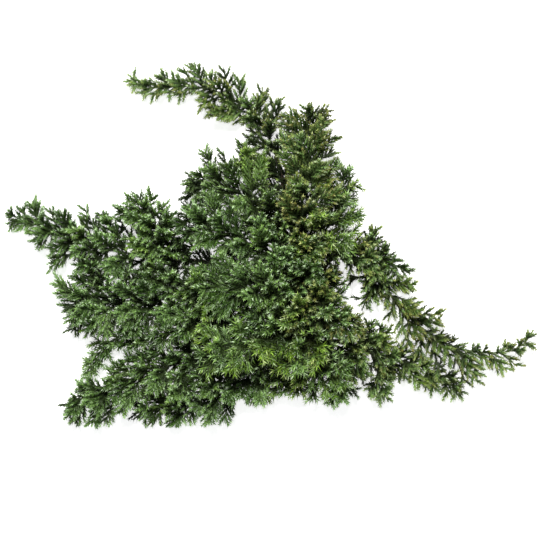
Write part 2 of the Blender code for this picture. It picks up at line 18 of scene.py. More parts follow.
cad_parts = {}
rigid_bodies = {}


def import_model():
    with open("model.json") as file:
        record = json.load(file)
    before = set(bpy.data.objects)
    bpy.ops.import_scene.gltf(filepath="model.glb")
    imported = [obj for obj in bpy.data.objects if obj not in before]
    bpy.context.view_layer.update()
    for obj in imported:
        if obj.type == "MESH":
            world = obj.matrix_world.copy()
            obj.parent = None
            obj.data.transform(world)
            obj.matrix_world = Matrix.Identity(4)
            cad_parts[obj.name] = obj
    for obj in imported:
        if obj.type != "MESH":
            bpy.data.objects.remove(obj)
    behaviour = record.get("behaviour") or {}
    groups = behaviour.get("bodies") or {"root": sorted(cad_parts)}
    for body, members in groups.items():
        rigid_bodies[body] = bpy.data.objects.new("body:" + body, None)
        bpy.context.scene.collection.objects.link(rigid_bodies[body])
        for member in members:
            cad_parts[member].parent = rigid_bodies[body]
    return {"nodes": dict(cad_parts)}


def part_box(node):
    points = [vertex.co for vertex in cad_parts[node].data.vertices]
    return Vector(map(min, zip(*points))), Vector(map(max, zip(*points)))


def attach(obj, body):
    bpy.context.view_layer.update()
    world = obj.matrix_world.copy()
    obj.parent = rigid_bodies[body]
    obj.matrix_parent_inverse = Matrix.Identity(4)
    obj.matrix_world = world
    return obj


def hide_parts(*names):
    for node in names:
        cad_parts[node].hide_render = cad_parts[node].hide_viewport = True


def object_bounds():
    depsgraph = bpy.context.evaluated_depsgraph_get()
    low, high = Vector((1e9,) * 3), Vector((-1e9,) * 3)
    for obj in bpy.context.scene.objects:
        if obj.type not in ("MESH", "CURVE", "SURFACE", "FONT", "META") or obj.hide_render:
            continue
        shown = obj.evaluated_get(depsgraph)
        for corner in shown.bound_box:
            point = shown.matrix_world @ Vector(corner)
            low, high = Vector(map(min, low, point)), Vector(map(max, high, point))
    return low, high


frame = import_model()
solid_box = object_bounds()
MM = 0.001
UP = Vector((0, 0, 1))
print("solids:", len(frame["nodes"]))

# %% [markdown]
# ## The limbs
#
# The solids were drawn from the numbers in this lesson's first half, in millimetres. They're repeated
# unchanged, each where it is first needed, so that a long shoot starts and ends where its solid does.
# The finished solids could be measured instead, but a mesh no longer tells which shoot is which.
#
# A limb is a route of points, two radii, the share of it that is bare wood, and how far its foliage
# reaches to the left and right. Height 0 means that it rests on the table there.

# %% The limbs
LIMBS = {
    "top_arm": {
        "route": [(25, -17, 13), (20, 17, 11), (13, 53, 6), (2, 90, 0), (-16, 118, 6), (-43, 135, 10),
                  (-72, 142, 11), (-103, 141, 9), (-127, 148, 8)],
        "radii": (3.3, 2.0), "bare": 0.38,
        "left": (26, 26, 26, 20, 27, 13, 10, 6),
        "right": (24, 24, 24, 26, 32, 30, 15, 26, 22, 11, 8, 5),
    },
    "left_arm": {
        "route": [(29, -48, 9), (-8, -30, 13), (-44, -19, 7), (-80, -14, 0), (-112, -11, 5),
                  (-148, -4, 8), (-184, 8, 9), (-215, 19, 10), (-236, 27, 9)],
        "radii": (3.1, 1.9), "bare": 0.46,
        "left": (26, 26, 27, 34, 35, 18, 5), "right": (26, 24, 28, 32, 30, 21, 10),
    },
    "left_low": {
        "route": [(33, -58, 9), (2, -53, 16), (-35, -53, 18), (-67, -56, 14), (-107, -54, 10),
                  (-143, -51, 8), (-168, -52, 7), (-184, -57, 7)],
        "radii": (2.6, 1.7), "bare": 0.38,
        "left": (24, 26, 28, 32, 36, 16), "right": (22, 24, 28, 36, 38, 15),
    },
    "left_hook": {
        "route": [(-32, -53, 17.8), (-50, -64, 23), (-73, -74, 22), (-95, -83, 17), (-116, -86, 13),
                  (-135, -85, 10), (-149, -93, 8), (-157, -106, 7), (-164, -119, 7)],
        "radii": (1.7, 1.4), "bare": 0.12,
        "left": (18, 16, 9, 9, 9, 7), "right": (18, 16, 12, 16, 9, 6),
    },
    "bottom_left": {
        "route": [(38, -78, 9), (5, -78, 12), (-28, -90, 6), (-62, -102, 0), (-96, -112, 6),
                  (-130, -124, 8), (-160, -136, 8), (-184, -146, 7)],
        "radii": (2.8, 1.8), "bare": 0.46,
        "left": (26, 28, 30, 34, 31, 13), "right": (24, 24, 26, 22, 15, 11),
    },
    "bottom": {
        "route": [(41, -88, 9), (12, -97, 14), (-22, -118, 13), (-58, -139, 9), (-92, -149, 7),
                  (-122, -153, 6)],
        "radii": (2.4, 1.6), "bare": 0.26,
        "left": (24, 26, 26, 17, 7), "right": (22, 26, 28, 26, 12),
    },
    "bottom_middle": {
        "route": [(44, -98, 9), (29, -110, 14), (12, -124, 14), (-2, -134, 10), (-15, -143, 7)],
        "radii": (2.0, 1.5), "bare": 0.22,
        "left": (18, 16, 8, 5), "right": (16, 20, 18, 9),
    },
    "bottom_right": {
        "route": [(47, -106, 8), (57, -115, 12), (65, -126, 11), (68, -137, 7)],
        "radii": (1.9, 1.4), "bare": 0.20,
        "left": (18, 22, 18, 8), "right": (18, 22, 20, 8),
    },
    "right_low": {
        "route": [(42, -92, 9), (62, -88, 11), (84, -95, 4), (104, -103, 0), (130, -108, 6),
                  (152, -118, 8), (173, -135, 7)],
        "radii": (2.6, 1.8), "bare": 0.48,
        "left": (28, 27, 17, 10, 14, 14, 8), "right": (26, 34, 37, 17, 20, 11, 6),
    },
    "right_arm": {
        "route": [(30, -52, 10), (46, -24, 17), (66, -6, 15), (89, -14, 6), (105, -38, 0),
                  (120, -60, 6), (146, -82, 8), (174, -95, 10), (206, -98, 11), (226, -92, 11),
                  (237, -79, 9)],
        "radii": (3.0, 1.8), "bare": 0.38,
        "left": (18, 22, 17, 14, 26, 26, 16, 6, 5, 4, 4), "right": (20, 24, 22, 8, 26, 30, 13, 6),
    },
    "right_tuft": {
        "route": [(82, -10, 9), (97, -13, 17), (112, -19, 19), (125, -26, 15)],
        "radii": (1.6, 1.4), "bare": 0.16,
        "left": (9, 10, 9, 5), "right": (9, 12, 10, 6),
    },
    "right_hang": {
        "route": [(94, -18, 4), (96, -32, 12), (90, -46, 11), (84, -58, 8)],
        "radii": (1.4, 1.3), "bare": 0.14,
        "left": (8, 9, 9, 5), "right": (8, 9, 9, 5),
    },
    "top_right": {
        "route": [(24, -8, 14), (31, 22, 28), (34, 54, 33), (37, 86, 27), (39, 121, 19)],
        "radii": (2.6, 1.6), "bare": 0.16,
        "left": (22, 26, 30, 30, 14), "right": (24, 28, 28, 24, 9),
    },
    "right_up": {
        "route": [(27, -28, 13), (44, 2, 24), (57, 26, 29), (66, 46, 25), (75, 62, 18)],
        "radii": (2.4, 1.6), "bare": 0.16,
        "left": (18, 22, 24, 24, 14), "right": (26, 30, 24, 13, 6),
    },
    "upper_left": {
        "route": [(24, 0, 13), (2, 24, 22), (-22, 42, 22), (-46, 53, 17), (-71, 59, 12)],
        "radii": (2.4, 1.6), "bare": 0.16,
        "left": (22, 26, 28, 28, 14), "right": (24, 38, 38, 28, 12),
    },
    "centre_left": {
        "route": [(25, -17, 13), (-2, -6, 28), (-28, 4, 33), (-54, 14, 31), (-78, 27, 24)],
        "radii": (2.2, 1.5), "bare": 0.16,
        "left": (20, 24, 24, 20, 9), "right": (20, 26, 26, 28, 19),
    },
    "centre_middle": {
        "route": [(28, -40, 10), (6, -42, 28), (-22, -40, 38), (-50, -37, 36), (-76, -36, 28)],
        "radii": (2.2, 1.5), "bare": 0.16,
        "left": (20, 24, 24, 20, 9), "right": (20, 24, 24, 20, 9),
    },
    "centre_low": {
        "route": [(36, -70, 9), (14, -76, 26), (-8, -85, 35), (-34, -92, 36), (-58, -100, 30)],
        "radii": (2.2, 1.5), "bare": 0.16,
        "left": (22, 26, 26, 22, 10), "right": (22, 26, 26, 22, 10),
    },
    "centre_right": {
        "route": [(32, -56, 9), (46, -54, 27), (63, -62, 32), (80, -76, 26)],
        "radii": (2.2, 1.5), "bare": 0.16,
        "left": (22, 18, 12, 7), "right": (20, 26, 22, 9),
    },
    "over_stem": {
        "route": [(39, -82, 9), (33, -90, 24), (21, -100, 31), (7, -108, 28)],
        "radii": (1.8, 1.4), "bare": 0.16,
        "left": (18, 22, 20, 9), "right": (16, 20, 18, 8),
    },
    "over_butt": {
        "route": [(44, -98, 8), (49, -108, 20), (45, -122, 21), (37, -134, 13)],
        "radii": (1.8, 1.4), "bare": 0.16,
        "left": (20, 22, 18, 8), "right": (18, 20, 18, 8),
    },
    "left_tuft": {
        "route": [(-82, -14, 2.2), (-97, 6, 15), (-110, 26, 20), (-118, 43, 17)],
        "radii": (1.6, 1.4), "bare": 0.14,
        "left": (18, 32, 32, 22), "right": (18, 22, 14, 9),
    },
}

MAIN_STEM = {
    "route": [(50, -118, 0), (45, -102, 6), (38, -80, 8.6), (32, -56, 9.2), (27, -32, 11), (25, -17, 13),
              (23, -5, 13)],
    "radii": (5.0, 3.4), "bare": 1.0,
    "left": (30, 28, 24, 22), "right": (30, 28, 24, 22),
}
print("limbs:", len(LIMBS))

# %% [markdown]
# ## Lines
#
# Everything grows along a line: a list of points that also knows its length, so that "12 mm from the
# foot" can be asked for. A curve object could do the same, but plain vectors are quick to test.

# %% A line measured along its length
class Line:
    """A line in space that is measured along its length."""

    def __init__(self, points):
        self.points = points
        self.runs = [0.0]
        for a, b in zip(points, points[1:]):
            self.runs.append(self.runs[-1] + (b - a).length)
        self.length = self.runs[-1]

    def at(self, s):
        s = min(max(s, 0.0), self.length)
        i = next(k for k in range(1, len(self.runs)) if self.runs[k] >= s - 1e-9)
        share = (s - self.runs[i - 1]) / (self.runs[i] - self.runs[i - 1])
        return self.points[i - 1].lerp(self.points[i], share)

    def ahead(self, s):
        return (self.at(s + 1.5) - self.at(s - 1.5)).normalized()

    def evenly(self, step):
        count = max(2, round(self.length / step))
        return Line([self.at(self.length * i / count) for i in range(count + 1)])

    def part(self, start, end):
        """The stretch between two distances."""
        inner = [p for p, run in zip(self.points, self.runs) if start + 0.5 < run < end - 0.5]
        return Line([self.at(start), *inner, self.at(end)])

# %% Smooth lines, and values along them
def smooth(route):
    """The smooth line through the route's points."""
    points = [Vector(p) for p in route]
    ends = [2 * points[0] - points[1], *points, 2 * points[-1] - points[-2]]
    fine = []
    for a, b, c, d in zip(ends, ends[1:], ends[2:], ends[3:]):
        count = max(3, round((c - b).length / 2))
        for i in range(count):
            t = i / count
            fine.append(0.5 * (2 * b + (c - a) * t + (2 * a - 5 * b + 4 * c - d) * t * t
                               + (3 * b - a - 3 * c + d) * t ** 3))
    return Line([*fine, points[-1]]).evenly(2.0)


def between(pair, share):
    """The value at a share of the way from the first of a pair to the second."""
    return pair[0] + (pair[1] - pair[0]) * share


def along(values, share):
    """The value at a share of the way through an even list of values."""
    place = min(max(share, 0.0), 1.0) * (len(values) - 1)
    i = min(int(place), len(values) - 2)
    return between(values[i:i + 2], place - i)

# %% [markdown]
# A limb droops until its bark touches the table, and no lower. Past the bare wood it is held up by
# its own needles, so its line stays a few millimetres high.

# %% The line of a limb
REST_CUT = 0.15  # how deep a resting limb is pressed flat
LIFT_RUN = 10.0  # from its last bare wood to where its needles hold it up
LOWEST_SHOOT = 5.2  # of a leafy line, with needles under it


def limb_line(limb, sides):
    """A limb's line, raised to lie on the surface where its route would dip under it."""
    line = smooth(limb["route"])
    bare = limb["bare"] * line.length
    raised = []
    for point, run in zip(line.points, line.runs):
        radius = between(limb["radii"], min(run / bare, 1))
        resting = radius * math.cos(math.pi / sides) - REST_CUT
        share = min(max(run - bare, 0) / LIFT_RUN, 1)
        low = between((resting, LOWEST_SHOOT), share * share * (3 - 2 * share))
        raised.append(Vector((point.x, point.y, max(point.z, low))))
    return Line(raised)

# %% [markdown]
# ## The long shoots, found again
#
# The solids' shoots are three-sided tubes with needles raised from their faces, and one is turned or
# left out where it has no room. To find the same ones, the same skins are worked out here as bare
# corners and faces, and tested against each other. They're never shown.

# %% Cross-sections and bare stems
LIMB_SIDES = 5
BUTT_SIDES = 6


def ring(point, side, ahead, radius, sides, turn):
    """Corners of a cross-section, anticlockwise as seen from ahead."""
    other = ahead.cross(side)
    angles = [turn + 2 * math.pi * j / sides for j in range(sides)]
    return [point + radius * (math.cos(w) * side + math.sin(w) * other) for w in angles]


def across(direction, ahead):
    """The direction square to ahead, as near as possible to the given one."""
    return (direction - ahead * direction.dot(ahead)).normalized()


def stem_skin(line, radii, step, sides=LIMB_SIDES):
    """Corners and faces of a closed stem of bare wood, with a face of it looking down."""
    corners, faces = [], []
    count = max(1, round(line.length / step))
    side = across(line.ahead(0).cross(UP), line.ahead(0))
    for k in range(count + 1):
        run = line.length * k / count
        ahead = line.ahead(run)
        side = across(side, ahead)
        radius = between(radii, k / count)
        corners += ring(line.at(run), side, ahead, radius, sides, math.pi * (0.5 - 1 / sides))
    for k in range(count):
        for j in range(sides):
            a, b = k * sides + j, k * sides + (j + 1) % sides
            faces.append((a, b, b + sides, a + sides))
    last = len(corners) - sides
    faces.append(tuple(reversed(range(sides))))
    faces.append(tuple(range(last, last + sides)))
    return corners, faces

# %% The skin of a shoot
def shoot_skin(first, line, radii, steps, swell=0.0):
    """Corners and faces of a shoot that grows from three corners along the line to its bud.

    Each ring of three is turned by a sixth against the one before, so six triangles join them. In a
    leafy step the three with their base towards the foot are raised into needles. Also returned are
    the faces left plain, which side shoots may grow from.
    """
    corners, faces, plain = list(first), [], []
    ahead = line.ahead(0)
    side = across(first[0] - sum(first, Vector()) / 3, ahead)
    run, here = 0.0, 0
    for k, (step, leafy) in enumerate(steps):
        run += step
        ahead = line.ahead(run)
        side = across(side, ahead)
        radius = between(radii, run / line.length) + swell
        there = len(corners)
        corners += ring(line.at(run), side, ahead, radius, 3, (k + 1) * math.pi / 3)
        for j in range(3):
            nxt = (j + 1) % 3
            behind = (here + j, here + nxt, there + j)
            before = (here + nxt, there + nxt, there + j)
            plain.append((len(faces), run))
            faces.append(before)
            if leafy:
                faces += needle(corners, behind, line.at(run - step / 2), ahead, swell)
            else:
                plain.append((len(faces), run))
                faces.append(behind)
        here = there
    corners.append(line.at(run) + ahead * (line.length - run + swell))
    faces += [(here + j, here + (j + 1) % 3, len(corners) - 1) for j in range(3)]
    return corners, faces, plain

# %% A needle of the solids
NEEDLE_LENGTH = 6.4
NEEDLE_LEAN = 42  # degrees from the shoot's own line
LOWEST_POINT = 0.5


def needle(corners, root, middle, ahead, swell):
    """Raises a triangle of the skin into a needle that leans forward. Returns its three sides."""
    a, b, c = root
    foot = (corners[a] + corners[b] + corners[c]) / 3
    out = across(foot - middle, ahead)
    lean = math.radians(NEEDLE_LEAN)
    point = foot + (NEEDLE_LENGTH + swell) * (out * math.sin(lean) + ahead * math.cos(lean))
    point.z = max(point.z, LOWEST_POINT)
    corners.append(point)
    tip = len(corners) - 1
    return [(a, b, tip), (b, c, tip), (c, a, tip)]

# %% Whorls and plain stretches
WHORL_STEP = 5.3
BARE_STEP = 4.9  # without needles, between two whorls of a leafy stem
FULL_TIP = 22.5  # the end of a stem, where whorls follow each other closely
FIRST_STEP = 2.4  # the plain foot of every shoot
BUD_LENGTH = 3.6


def stem_steps(length):
    """Steps of a leafy stem: whorls and plain stretches by turns, then whorls alone to the tip."""
    steps, run = [(FIRST_STEP, False)], FIRST_STEP
    while run < length - BUD_LENGTH - FULL_TIP:
        steps += [(WHORL_STEP, True), (BARE_STEP, False)]
        run += WHORL_STEP + BARE_STEP
    return steps + whorls(length - run - BUD_LENGTH)


def whorls(length):
    """Leafy steps that fill a length."""
    count = max(1, round(length / WHORL_STEP))
    return [(length / count, True)] * count


def shoot_steps(length):
    """Steps of a side shoot: a plain foot, then whorls to the tip."""
    return [(FIRST_STEP, False), *whorls(length - FIRST_STEP - BUD_LENGTH)]

# %% [markdown]
# A bounding volume tree answers quickly whether two skins cross. It is the same test that kept the
# solids clear of each other.

# %% The room that is taken
class Space:
    """The skins placed so far, to keep separate pieces clear of each other."""

    def __init__(self):
        self.placed = []

    def keep(self, owner, corners, faces):
        self.placed.append((owner, BVHTree.FromPolygons(corners, faces), *extent(corners)))

    def free(self, own, corners, faces, foot):
        """Whether a skin is clear of all others. Its first few faces, the foot, may touch its own."""
        whole = BVHTree.FromPolygons(corners, faces)
        beyond = BVHTree.FromPolygons(corners, faces[foot:])
        low, high = extent(corners)
        for owner, tree, other_low, other_high in self.placed:
            if any(low[i] > other_high[i] or high[i] < other_low[i] for i in range(3)):
                continue
            if (beyond if owner in own else whole).overlap(tree):
                return False
        return True


def extent(corners):
    """Lowest and highest coordinates of the corners."""
    return tuple([pick(c[i] for c in corners) for i in range(3)] for pick in (min, max))

# %% [markdown]
# A leafy piece is one skin. The leafy stem comes first, and each side shoot's skin is let in where a
# plain face of its parent was, so that it grows out of the stem without a seam.

# %% A leafy piece
LEAFY_STEM_RADIUS = 1.35
TIP_RADIUS = 0.66
CLEARANCE = 0.4  # between separate pieces
FOOT_FACES = 6  # at a shoot's foot, which may touch what carries it


class Shoot:
    """A stretch of a piece's skin: its line, and the plain faces that other shoots may grow from."""

    def __init__(self, line, plain):
        self.line, self.plain = line, plain


class Piece:
    """One leafy piece: a leafy stem, and side shoots raised from faces of its skin."""

    def __init__(self, name, wood, space):
        self.name, self.space = name, space
        self.own = (name, wood)
        self.corners, self.faces = [], []
        self.stem, self.shoots = None, []

    def add_stem(self, line):
        """The stem that the side shoots grow from, with its foot cut flat. False if it has no room."""
        radii = (LEAFY_STEM_RADIUS, TIP_RADIUS)
        ahead = line.ahead(0)
        side = across(ahead.cross(UP), ahead)
        steps = stem_steps(line.length)
        for swell in (CLEARANCE, 0.0):
            first = ring(line.at(0), side, ahead, radii[0] + swell, 3, math.pi / 6)
            corners, faces, plain = shoot_skin(first, line, radii, steps, swell)
            if swell and not self.space.free(self.own, corners, faces, FOOT_FACES):
                return False
        self.corners, self.faces = corners, [*faces, (2, 1, 0)]
        self.stem = Shoot(line, [(i, run) for i, run in plain if run > FIRST_STEP + 0.1])
        self.shoots.append(self.stem)
        self.space.keep(self.name, corners, self.faces)
        return True

# %% Side shoots on a piece
SHOOT_RADIUS = 0.88
FOOT_SEARCH = 7.0  # how far off along the parent a plain face may be
FOOT_DRIFT = 0.12  # what each millimetre of that counts, against the way the face looks


def foot_face(piece, parent, run, out):
    """The parent's plain face that lies nearest a distance and looks most nearly that way."""
    def fitness(item):
        a, b, c = (piece.corners[i] for i in piece.faces[item[0]])
        normal = (b - a).cross(c - a).normalized()
        return normal.dot(out) - FOOT_DRIFT * abs(item[1] - run)
    near = [item for item in parent.plain if abs(item[1] - run) < FOOT_SEARCH]
    return max(near, key=fitness, default=None)


def add_shoot(piece, parent, run, out, way, length):
    """A shoot from the parent at a distance along it, or None if it has no room."""
    item = foot_face(piece, parent, run, out)
    if item is None:
        return None
    root = piece.faces[item[0]]
    first = [piece.corners[i] for i in root]
    line = shoot_line(sum(first, Vector()) / 3, way, length)
    steps = shoot_steps(line.length)
    radii = (SHOOT_RADIUS, TIP_RADIUS)
    corners, faces, plain = shoot_skin(first, line, radii, steps, CLEARANCE)
    if not piece.space.free(piece.own, corners, faces, FOOT_FACES):
        return None
    corners, faces, plain = shoot_skin(first, line, radii, steps)
    piece.space.keep(piece.name, corners, faces)
    parent.plain.remove(item)
    shift = len(piece.faces) - 1
    graft(piece, item[0], root, corners, faces)
    grown = Shoot(line, [(i + shift, at) for i, at in plain if i and at > FIRST_STEP + 0.1])
    piece.shoots.append(grown)
    return grown


def graft(piece, place, root, corners, faces):
    """Puts a shoot's skin in the place of the face that it grows from."""
    index = [*root, *range(len(piece.corners), len(piece.corners) + len(corners) - 3)]
    piece.corners += corners[3:]
    renumbered = [tuple(index[i] for i in face) for face in faces]
    piece.faces[place] = renumbered[0]
    piece.faces += renumbered[1:]

# %% [markdown]
# Side shoots leave a leafy stem by turns to the left, to the right and upwards, as far out as the
# limb's foliage reaches there. Each is straight at first, and then bends up to the light.

# %% The line of a shoot
SHOOT_RISE = 0.10  # of its length, by which a shoot bends up
STEEPEST_RISE = 0.9  # of a shoot that starts too low and has to climb


def shoot_line(start, way, length):
    """A shoot's line: straight at first, then bending up to the light, and clear of the surface."""
    points = []
    for i in range(9):
        t = i / 8
        point = start + way * (length * t) + UP * (SHOOT_RISE * length * t * t)
        point.z = max(point.z, min(LOWEST_SHOOT, start.z + STEEPEST_RISE * length * t))
        points.append(point)
    return Line(points).part(0, length)


def directions(line, run, roll, spread):
    """The outward direction at a roll round the line, and a shoot's own direction there."""
    ahead = line.ahead(run)
    right = ahead.cross(UP).normalized()
    out = right * math.sin(roll) + right.cross(ahead) * math.cos(roll)
    return out, ahead * math.cos(spread) + out * math.sin(spread)

# %% Where side shoots leave a stem
SHOOT_SPACING = 13.2
FIRST_SHOOT = 6.0
SHORTEST_SHOOT = 9.0
LONGEST_SHOOT = 50.0
SIDE_SPREAD = (44, 56)  # degrees from the stem's own line
SIDE_ROLLS = (-76, 74, -34, 82, -66, 26)  # degrees round the stem, from straight up
UPRIGHT_LOSS = 0.3  # of its length, for one that stands straight up


def side_shoots(name, line, limb, offset, whole):
    """Where side shoots leave a leafy stem, their roll, spread and length, by a seeded rule."""
    rng = random.Random(name)
    found, run, turn = [], FIRST_SHOOT, 0
    while run < line.length - SHORTEST_SHOOT:
        roll = SIDE_ROLLS[turn % len(SIDE_ROLLS)] + rng.uniform(-8, 8)
        spread = math.radians(rng.uniform(*SIDE_SPREAD))
        reach = along(limb["right" if roll > 0 else "left"], (offset + run) / whole)
        upright = math.cos(math.radians(roll))
        length = reach / math.sin(spread) * (1 - UPRIGHT_LOSS * upright) * rng.uniform(0.92, 1.08)
        length = min(max(length, SHORTEST_SHOOT), LONGEST_SHOOT)
        found.append((run, math.radians(roll), spread, length))
        run += SHOOT_SPACING * rng.uniform(0.85, 1.15)
        turn += 1
    return found

# %% [markdown]
# A shoot that would run into another is turned, lifted or shortened until it has room, and left out
# if nothing helps. A long one carries up to three shoots of its own.

# %% Clothe a stem with its side shoots
FORKING_LENGTH = 36.0  # from which a shoot carries others
FIRST_TWIN = 0.36  # of its length, to the first of them
TWIN_SPACING = 0.2  # of its length, between them
TWIN_LENGTH = (0.34, 0.42)  # of its length
TWIN_ROLLS = (70, -70, 20)
TWIN_SPREAD = math.radians(46)

# What is tried in turn: a further turn and spread in degrees, and a share of the length.
SECOND_TRIES = ((0, 0, 1), (-14, 4, 1), (12, -6, 1), (-26, 0, 0.9), (0, -10, 0.75), (-30, 8, 0.7),
                (10, 8, 0.6))


def clothe(piece, shoots):
    """Adds the side shoots that find room, with shoots of their own on the long ones."""
    for i, shoot in enumerate(shoots):
        grown = place_shoot(piece, piece.stem, *shoot)
        if not grown or grown.line.length < FORKING_LENGTH:
            continue
        rng = random.Random(f"{piece.name} {i}")
        run = grown.line.length * FIRST_TWIN
        for roll in TWIN_ROLLS:
            roll = math.radians(roll + rng.uniform(-12, 12))
            length = rng.uniform(*TWIN_LENGTH) * grown.line.length
            place_shoot(piece, grown, run, roll, TWIN_SPREAD, length)
            run += grown.line.length * TWIN_SPACING


def place_shoot(piece, parent, run, roll, spread, length):
    """A side shoot, turned, lifted or shortened where it would have no room."""
    for turn, opened, share in SECOND_TRIES:
        turned = roll + math.copysign(math.radians(turn), roll)
        out, way = directions(parent.line, run, turned, spread + math.radians(opened))
        grown = add_shoot(piece, parent, run, out, way, max(length * share, SHORTEST_SHOOT * 0.8))
        if grown:
            return grown
    return None

# %% [markdown]
# On bare wood each spray stands on a stub of its own, and it takes the first direction that is free.

# %% Sprays on bare wood
SPRAY_SPACING = 19.0
CROWN_SPACING = 12.0  # on the main stem, where they stand closer
FIRST_SPRAY = 16.0
LAST_SPRAY = 8.0  # from there to the end of the bare wood
SPRAY_ROLLS = (62, -60)
CROWN_ROLLS = (-48, 40, -22, 62, -66, 24)


def sprays(name, limb, line, space, wood):
    """The sprays on a limb's bare wood, each on its own stub, which is added to the wood."""
    crown = limb is MAIN_STEM
    rolls, spacing = (CROWN_ROLLS, CROWN_SPACING) if crown else (SPRAY_ROLLS, SPRAY_SPACING)
    rng = random.Random(name)
    run, turn = FIRST_SPRAY + rng.uniform(0, 5), 0
    made = []
    while run < limb["bare"] * line.length - LAST_SPRAY:
        piece = Piece(f"{name}_spray_{len(made) + 1}", f"wood {name}", space)
        if place_spray(piece, limb, line, run, rolls[turn % len(rolls)], wood):
            made.append(piece)
        run += spacing * rng.uniform(0.9, 1.1)
        turn += 1
    return made

# %% A spray and its stub
STUB_RADIUS = 1.0
STUB_SIDES = 4
STUB_PROUD = 0.5  # how far a stub's end stands clear of the bark
JOINT_GAP = 0.45  # between brown wood and a green shoot
LONGEST_SPRAY = 42.0
CLEAR_AFTER = 8.0  # from its foot, where a spray has to be clear of the table
ALL_WOOD = tuple(f"wood {name}" for name in ("main_stem", *LIMBS))

# What is tried in turn: a further roll and the spread in degrees, and a share of the length.
SPRAY_TRIES = ((0, 54, 1.15), (-14, 50, 1.1), (12, 60, 1.0), (-28, 56, 1.0), (-40, 60, 0.9),
               (-10, 72, 0.9), (6, 84, 0.8), (-24, 40, 0.8), (-60, 70, 0.8), (20, 66, 0.6),
               (-30, 66, 0.6))


def place_spray(piece, limb, line, run, roll, wood):
    """A spray's stem and its stub, turned or shortened to find room. False where there is none."""
    radius = between(limb["radii"], run / (limb["bare"] * line.length))
    reach = along(limb["right" if roll > 0 else "left"], run / line.length)
    for turn, spread, share in SPRAY_TRIES:
        turned = math.radians(roll + math.copysign(turn, roll))
        spread = math.radians(spread)
        _, way = directions(line, run, turned, spread)
        foot = (radius + STUB_RADIUS * math.cos(spread) + STUB_PROUD) / math.sin(spread)
        start = line.at(run)
        stub = stem_skin(Line([start, start + way * foot]), (STUB_RADIUS, STUB_RADIUS), foot, STUB_SIDES)
        length = min(reach * share / math.sin(spread), LONGEST_SPRAY)
        stem = shoot_line(start + way * (foot + JOINT_GAP), way, length)
        low = stem.at(CLEAR_AFTER).z < LOWEST_SHOOT
        if low or not piece.space.free(ALL_WOOD, *stub, len(stub[1])):
            continue
        if piece.add_stem(stem):
            piece.space.keep(piece.own[1], *stub)
            wood.append(stub)
            return True
    return False

# %% Bare wood, leafy ends and sprays
WOOD_STEP = 14
SPRAY_REACH = {"left": (17, 15, 9), "right": (17, 15, 9)}  # of the shoots on a spray


def wood_skins(lines, space):
    """The bare wood, one skin for the main stem and one for each limb."""
    skins = [stem_skin(lines["main_stem"], MAIN_STEM["radii"], WOOD_STEP, BUTT_SIDES)]
    space.keep("wood main_stem", *skins[0])
    for name, limb in LIMBS.items():
        bare = lines[name].part(0, limb["bare"] * lines[name].length)
        skins.append(stem_skin(bare, limb["radii"], WOOD_STEP))
        space.keep(f"wood {name}", *skins[-1])
    return skins


def leafy_ends(lines, space):
    """The leafy end of each limb, with the side shoots that it is to carry."""
    made = []
    for name, limb in LIMBS.items():
        line = lines[name]
        bare = limb["bare"] * line.length
        piece = Piece(f"{name}_leafy_end", f"wood {name}", space)
        if not piece.add_stem(line.part(bare + JOINT_GAP, line.length)):
            raise RuntimeError(f"the route of {name} runs into another limb")
        made.append((piece, side_shoots(piece.name, piece.stem.line, limb, bare, line.length)))
    return made


def leafy_sprays(lines, space, wood):
    """The sprays on all the bare wood, with the side shoots that each is to carry."""
    made = []
    for name, limb in (("main_stem", MAIN_STEM), *LIMBS.items()):
        for piece in sprays(name, limb, lines[name], space, wood):
            line = piece.stem.line
            made.append((piece, side_shoots(piece.name, line, SPRAY_REACH, 0, line.length)))
    return made

# %% [markdown]
# The rule is run once, and the boxes of its skins are held against the solids' own boxes. If the
# numbers above ever drift from the solids, the line that this cell prints shows it.

# %% Grow the long shoots
space = Space()
lines = {name: limb_line(limb, LIMB_SIDES) for name, limb in LIMBS.items()}
lines["main_stem"] = limb_line(MAIN_STEM, BUTT_SIDES)
wood = wood_skins(lines, space)
leafy = leafy_ends(lines, space) + leafy_sprays(lines, space, wood)
for piece, shoots in leafy:
    clothe(piece, shoots)
all_corners = [c for piece, _ in leafy for c in piece.corners] + [c for skin in wood for c in skin[0]]
sprig_low, sprig_high = extent(all_corners)
MIDDLE = Vector(((sprig_low[0] + sprig_high[0]) / 2, (sprig_low[1] + sprig_high[1]) / 2, 0))


def drift(piece):
    """How far the piece's box is from its solid's, in millimetres."""
    skin = extent([c - MIDDLE for c in piece.corners])
    pairs = zip(skin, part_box(piece.name))
    return max(abs(a - b / MM) for own, solid in pairs for a, b in zip(own, solid))


print("leafy pieces:", len(leafy), "largest drift in mm:", round(max(drift(p) for p, _ in leafy), 3))

# %% [markdown]
# ## More long shoots
#
# The solids carry a side shoot every 13 mm. The real sprig has some three times as many, so further
# ones fill the stretches between them, mostly a little shorter than their neighbours.
#
# No two limbs have grown alike. Some at the lower middle are young: their needles are long, loose and
# yellower. The tips at the top and right are bronzed. A short table says so for each limb or spray
# that differs from the usual, and seeded draws vary each shoot a little round it.

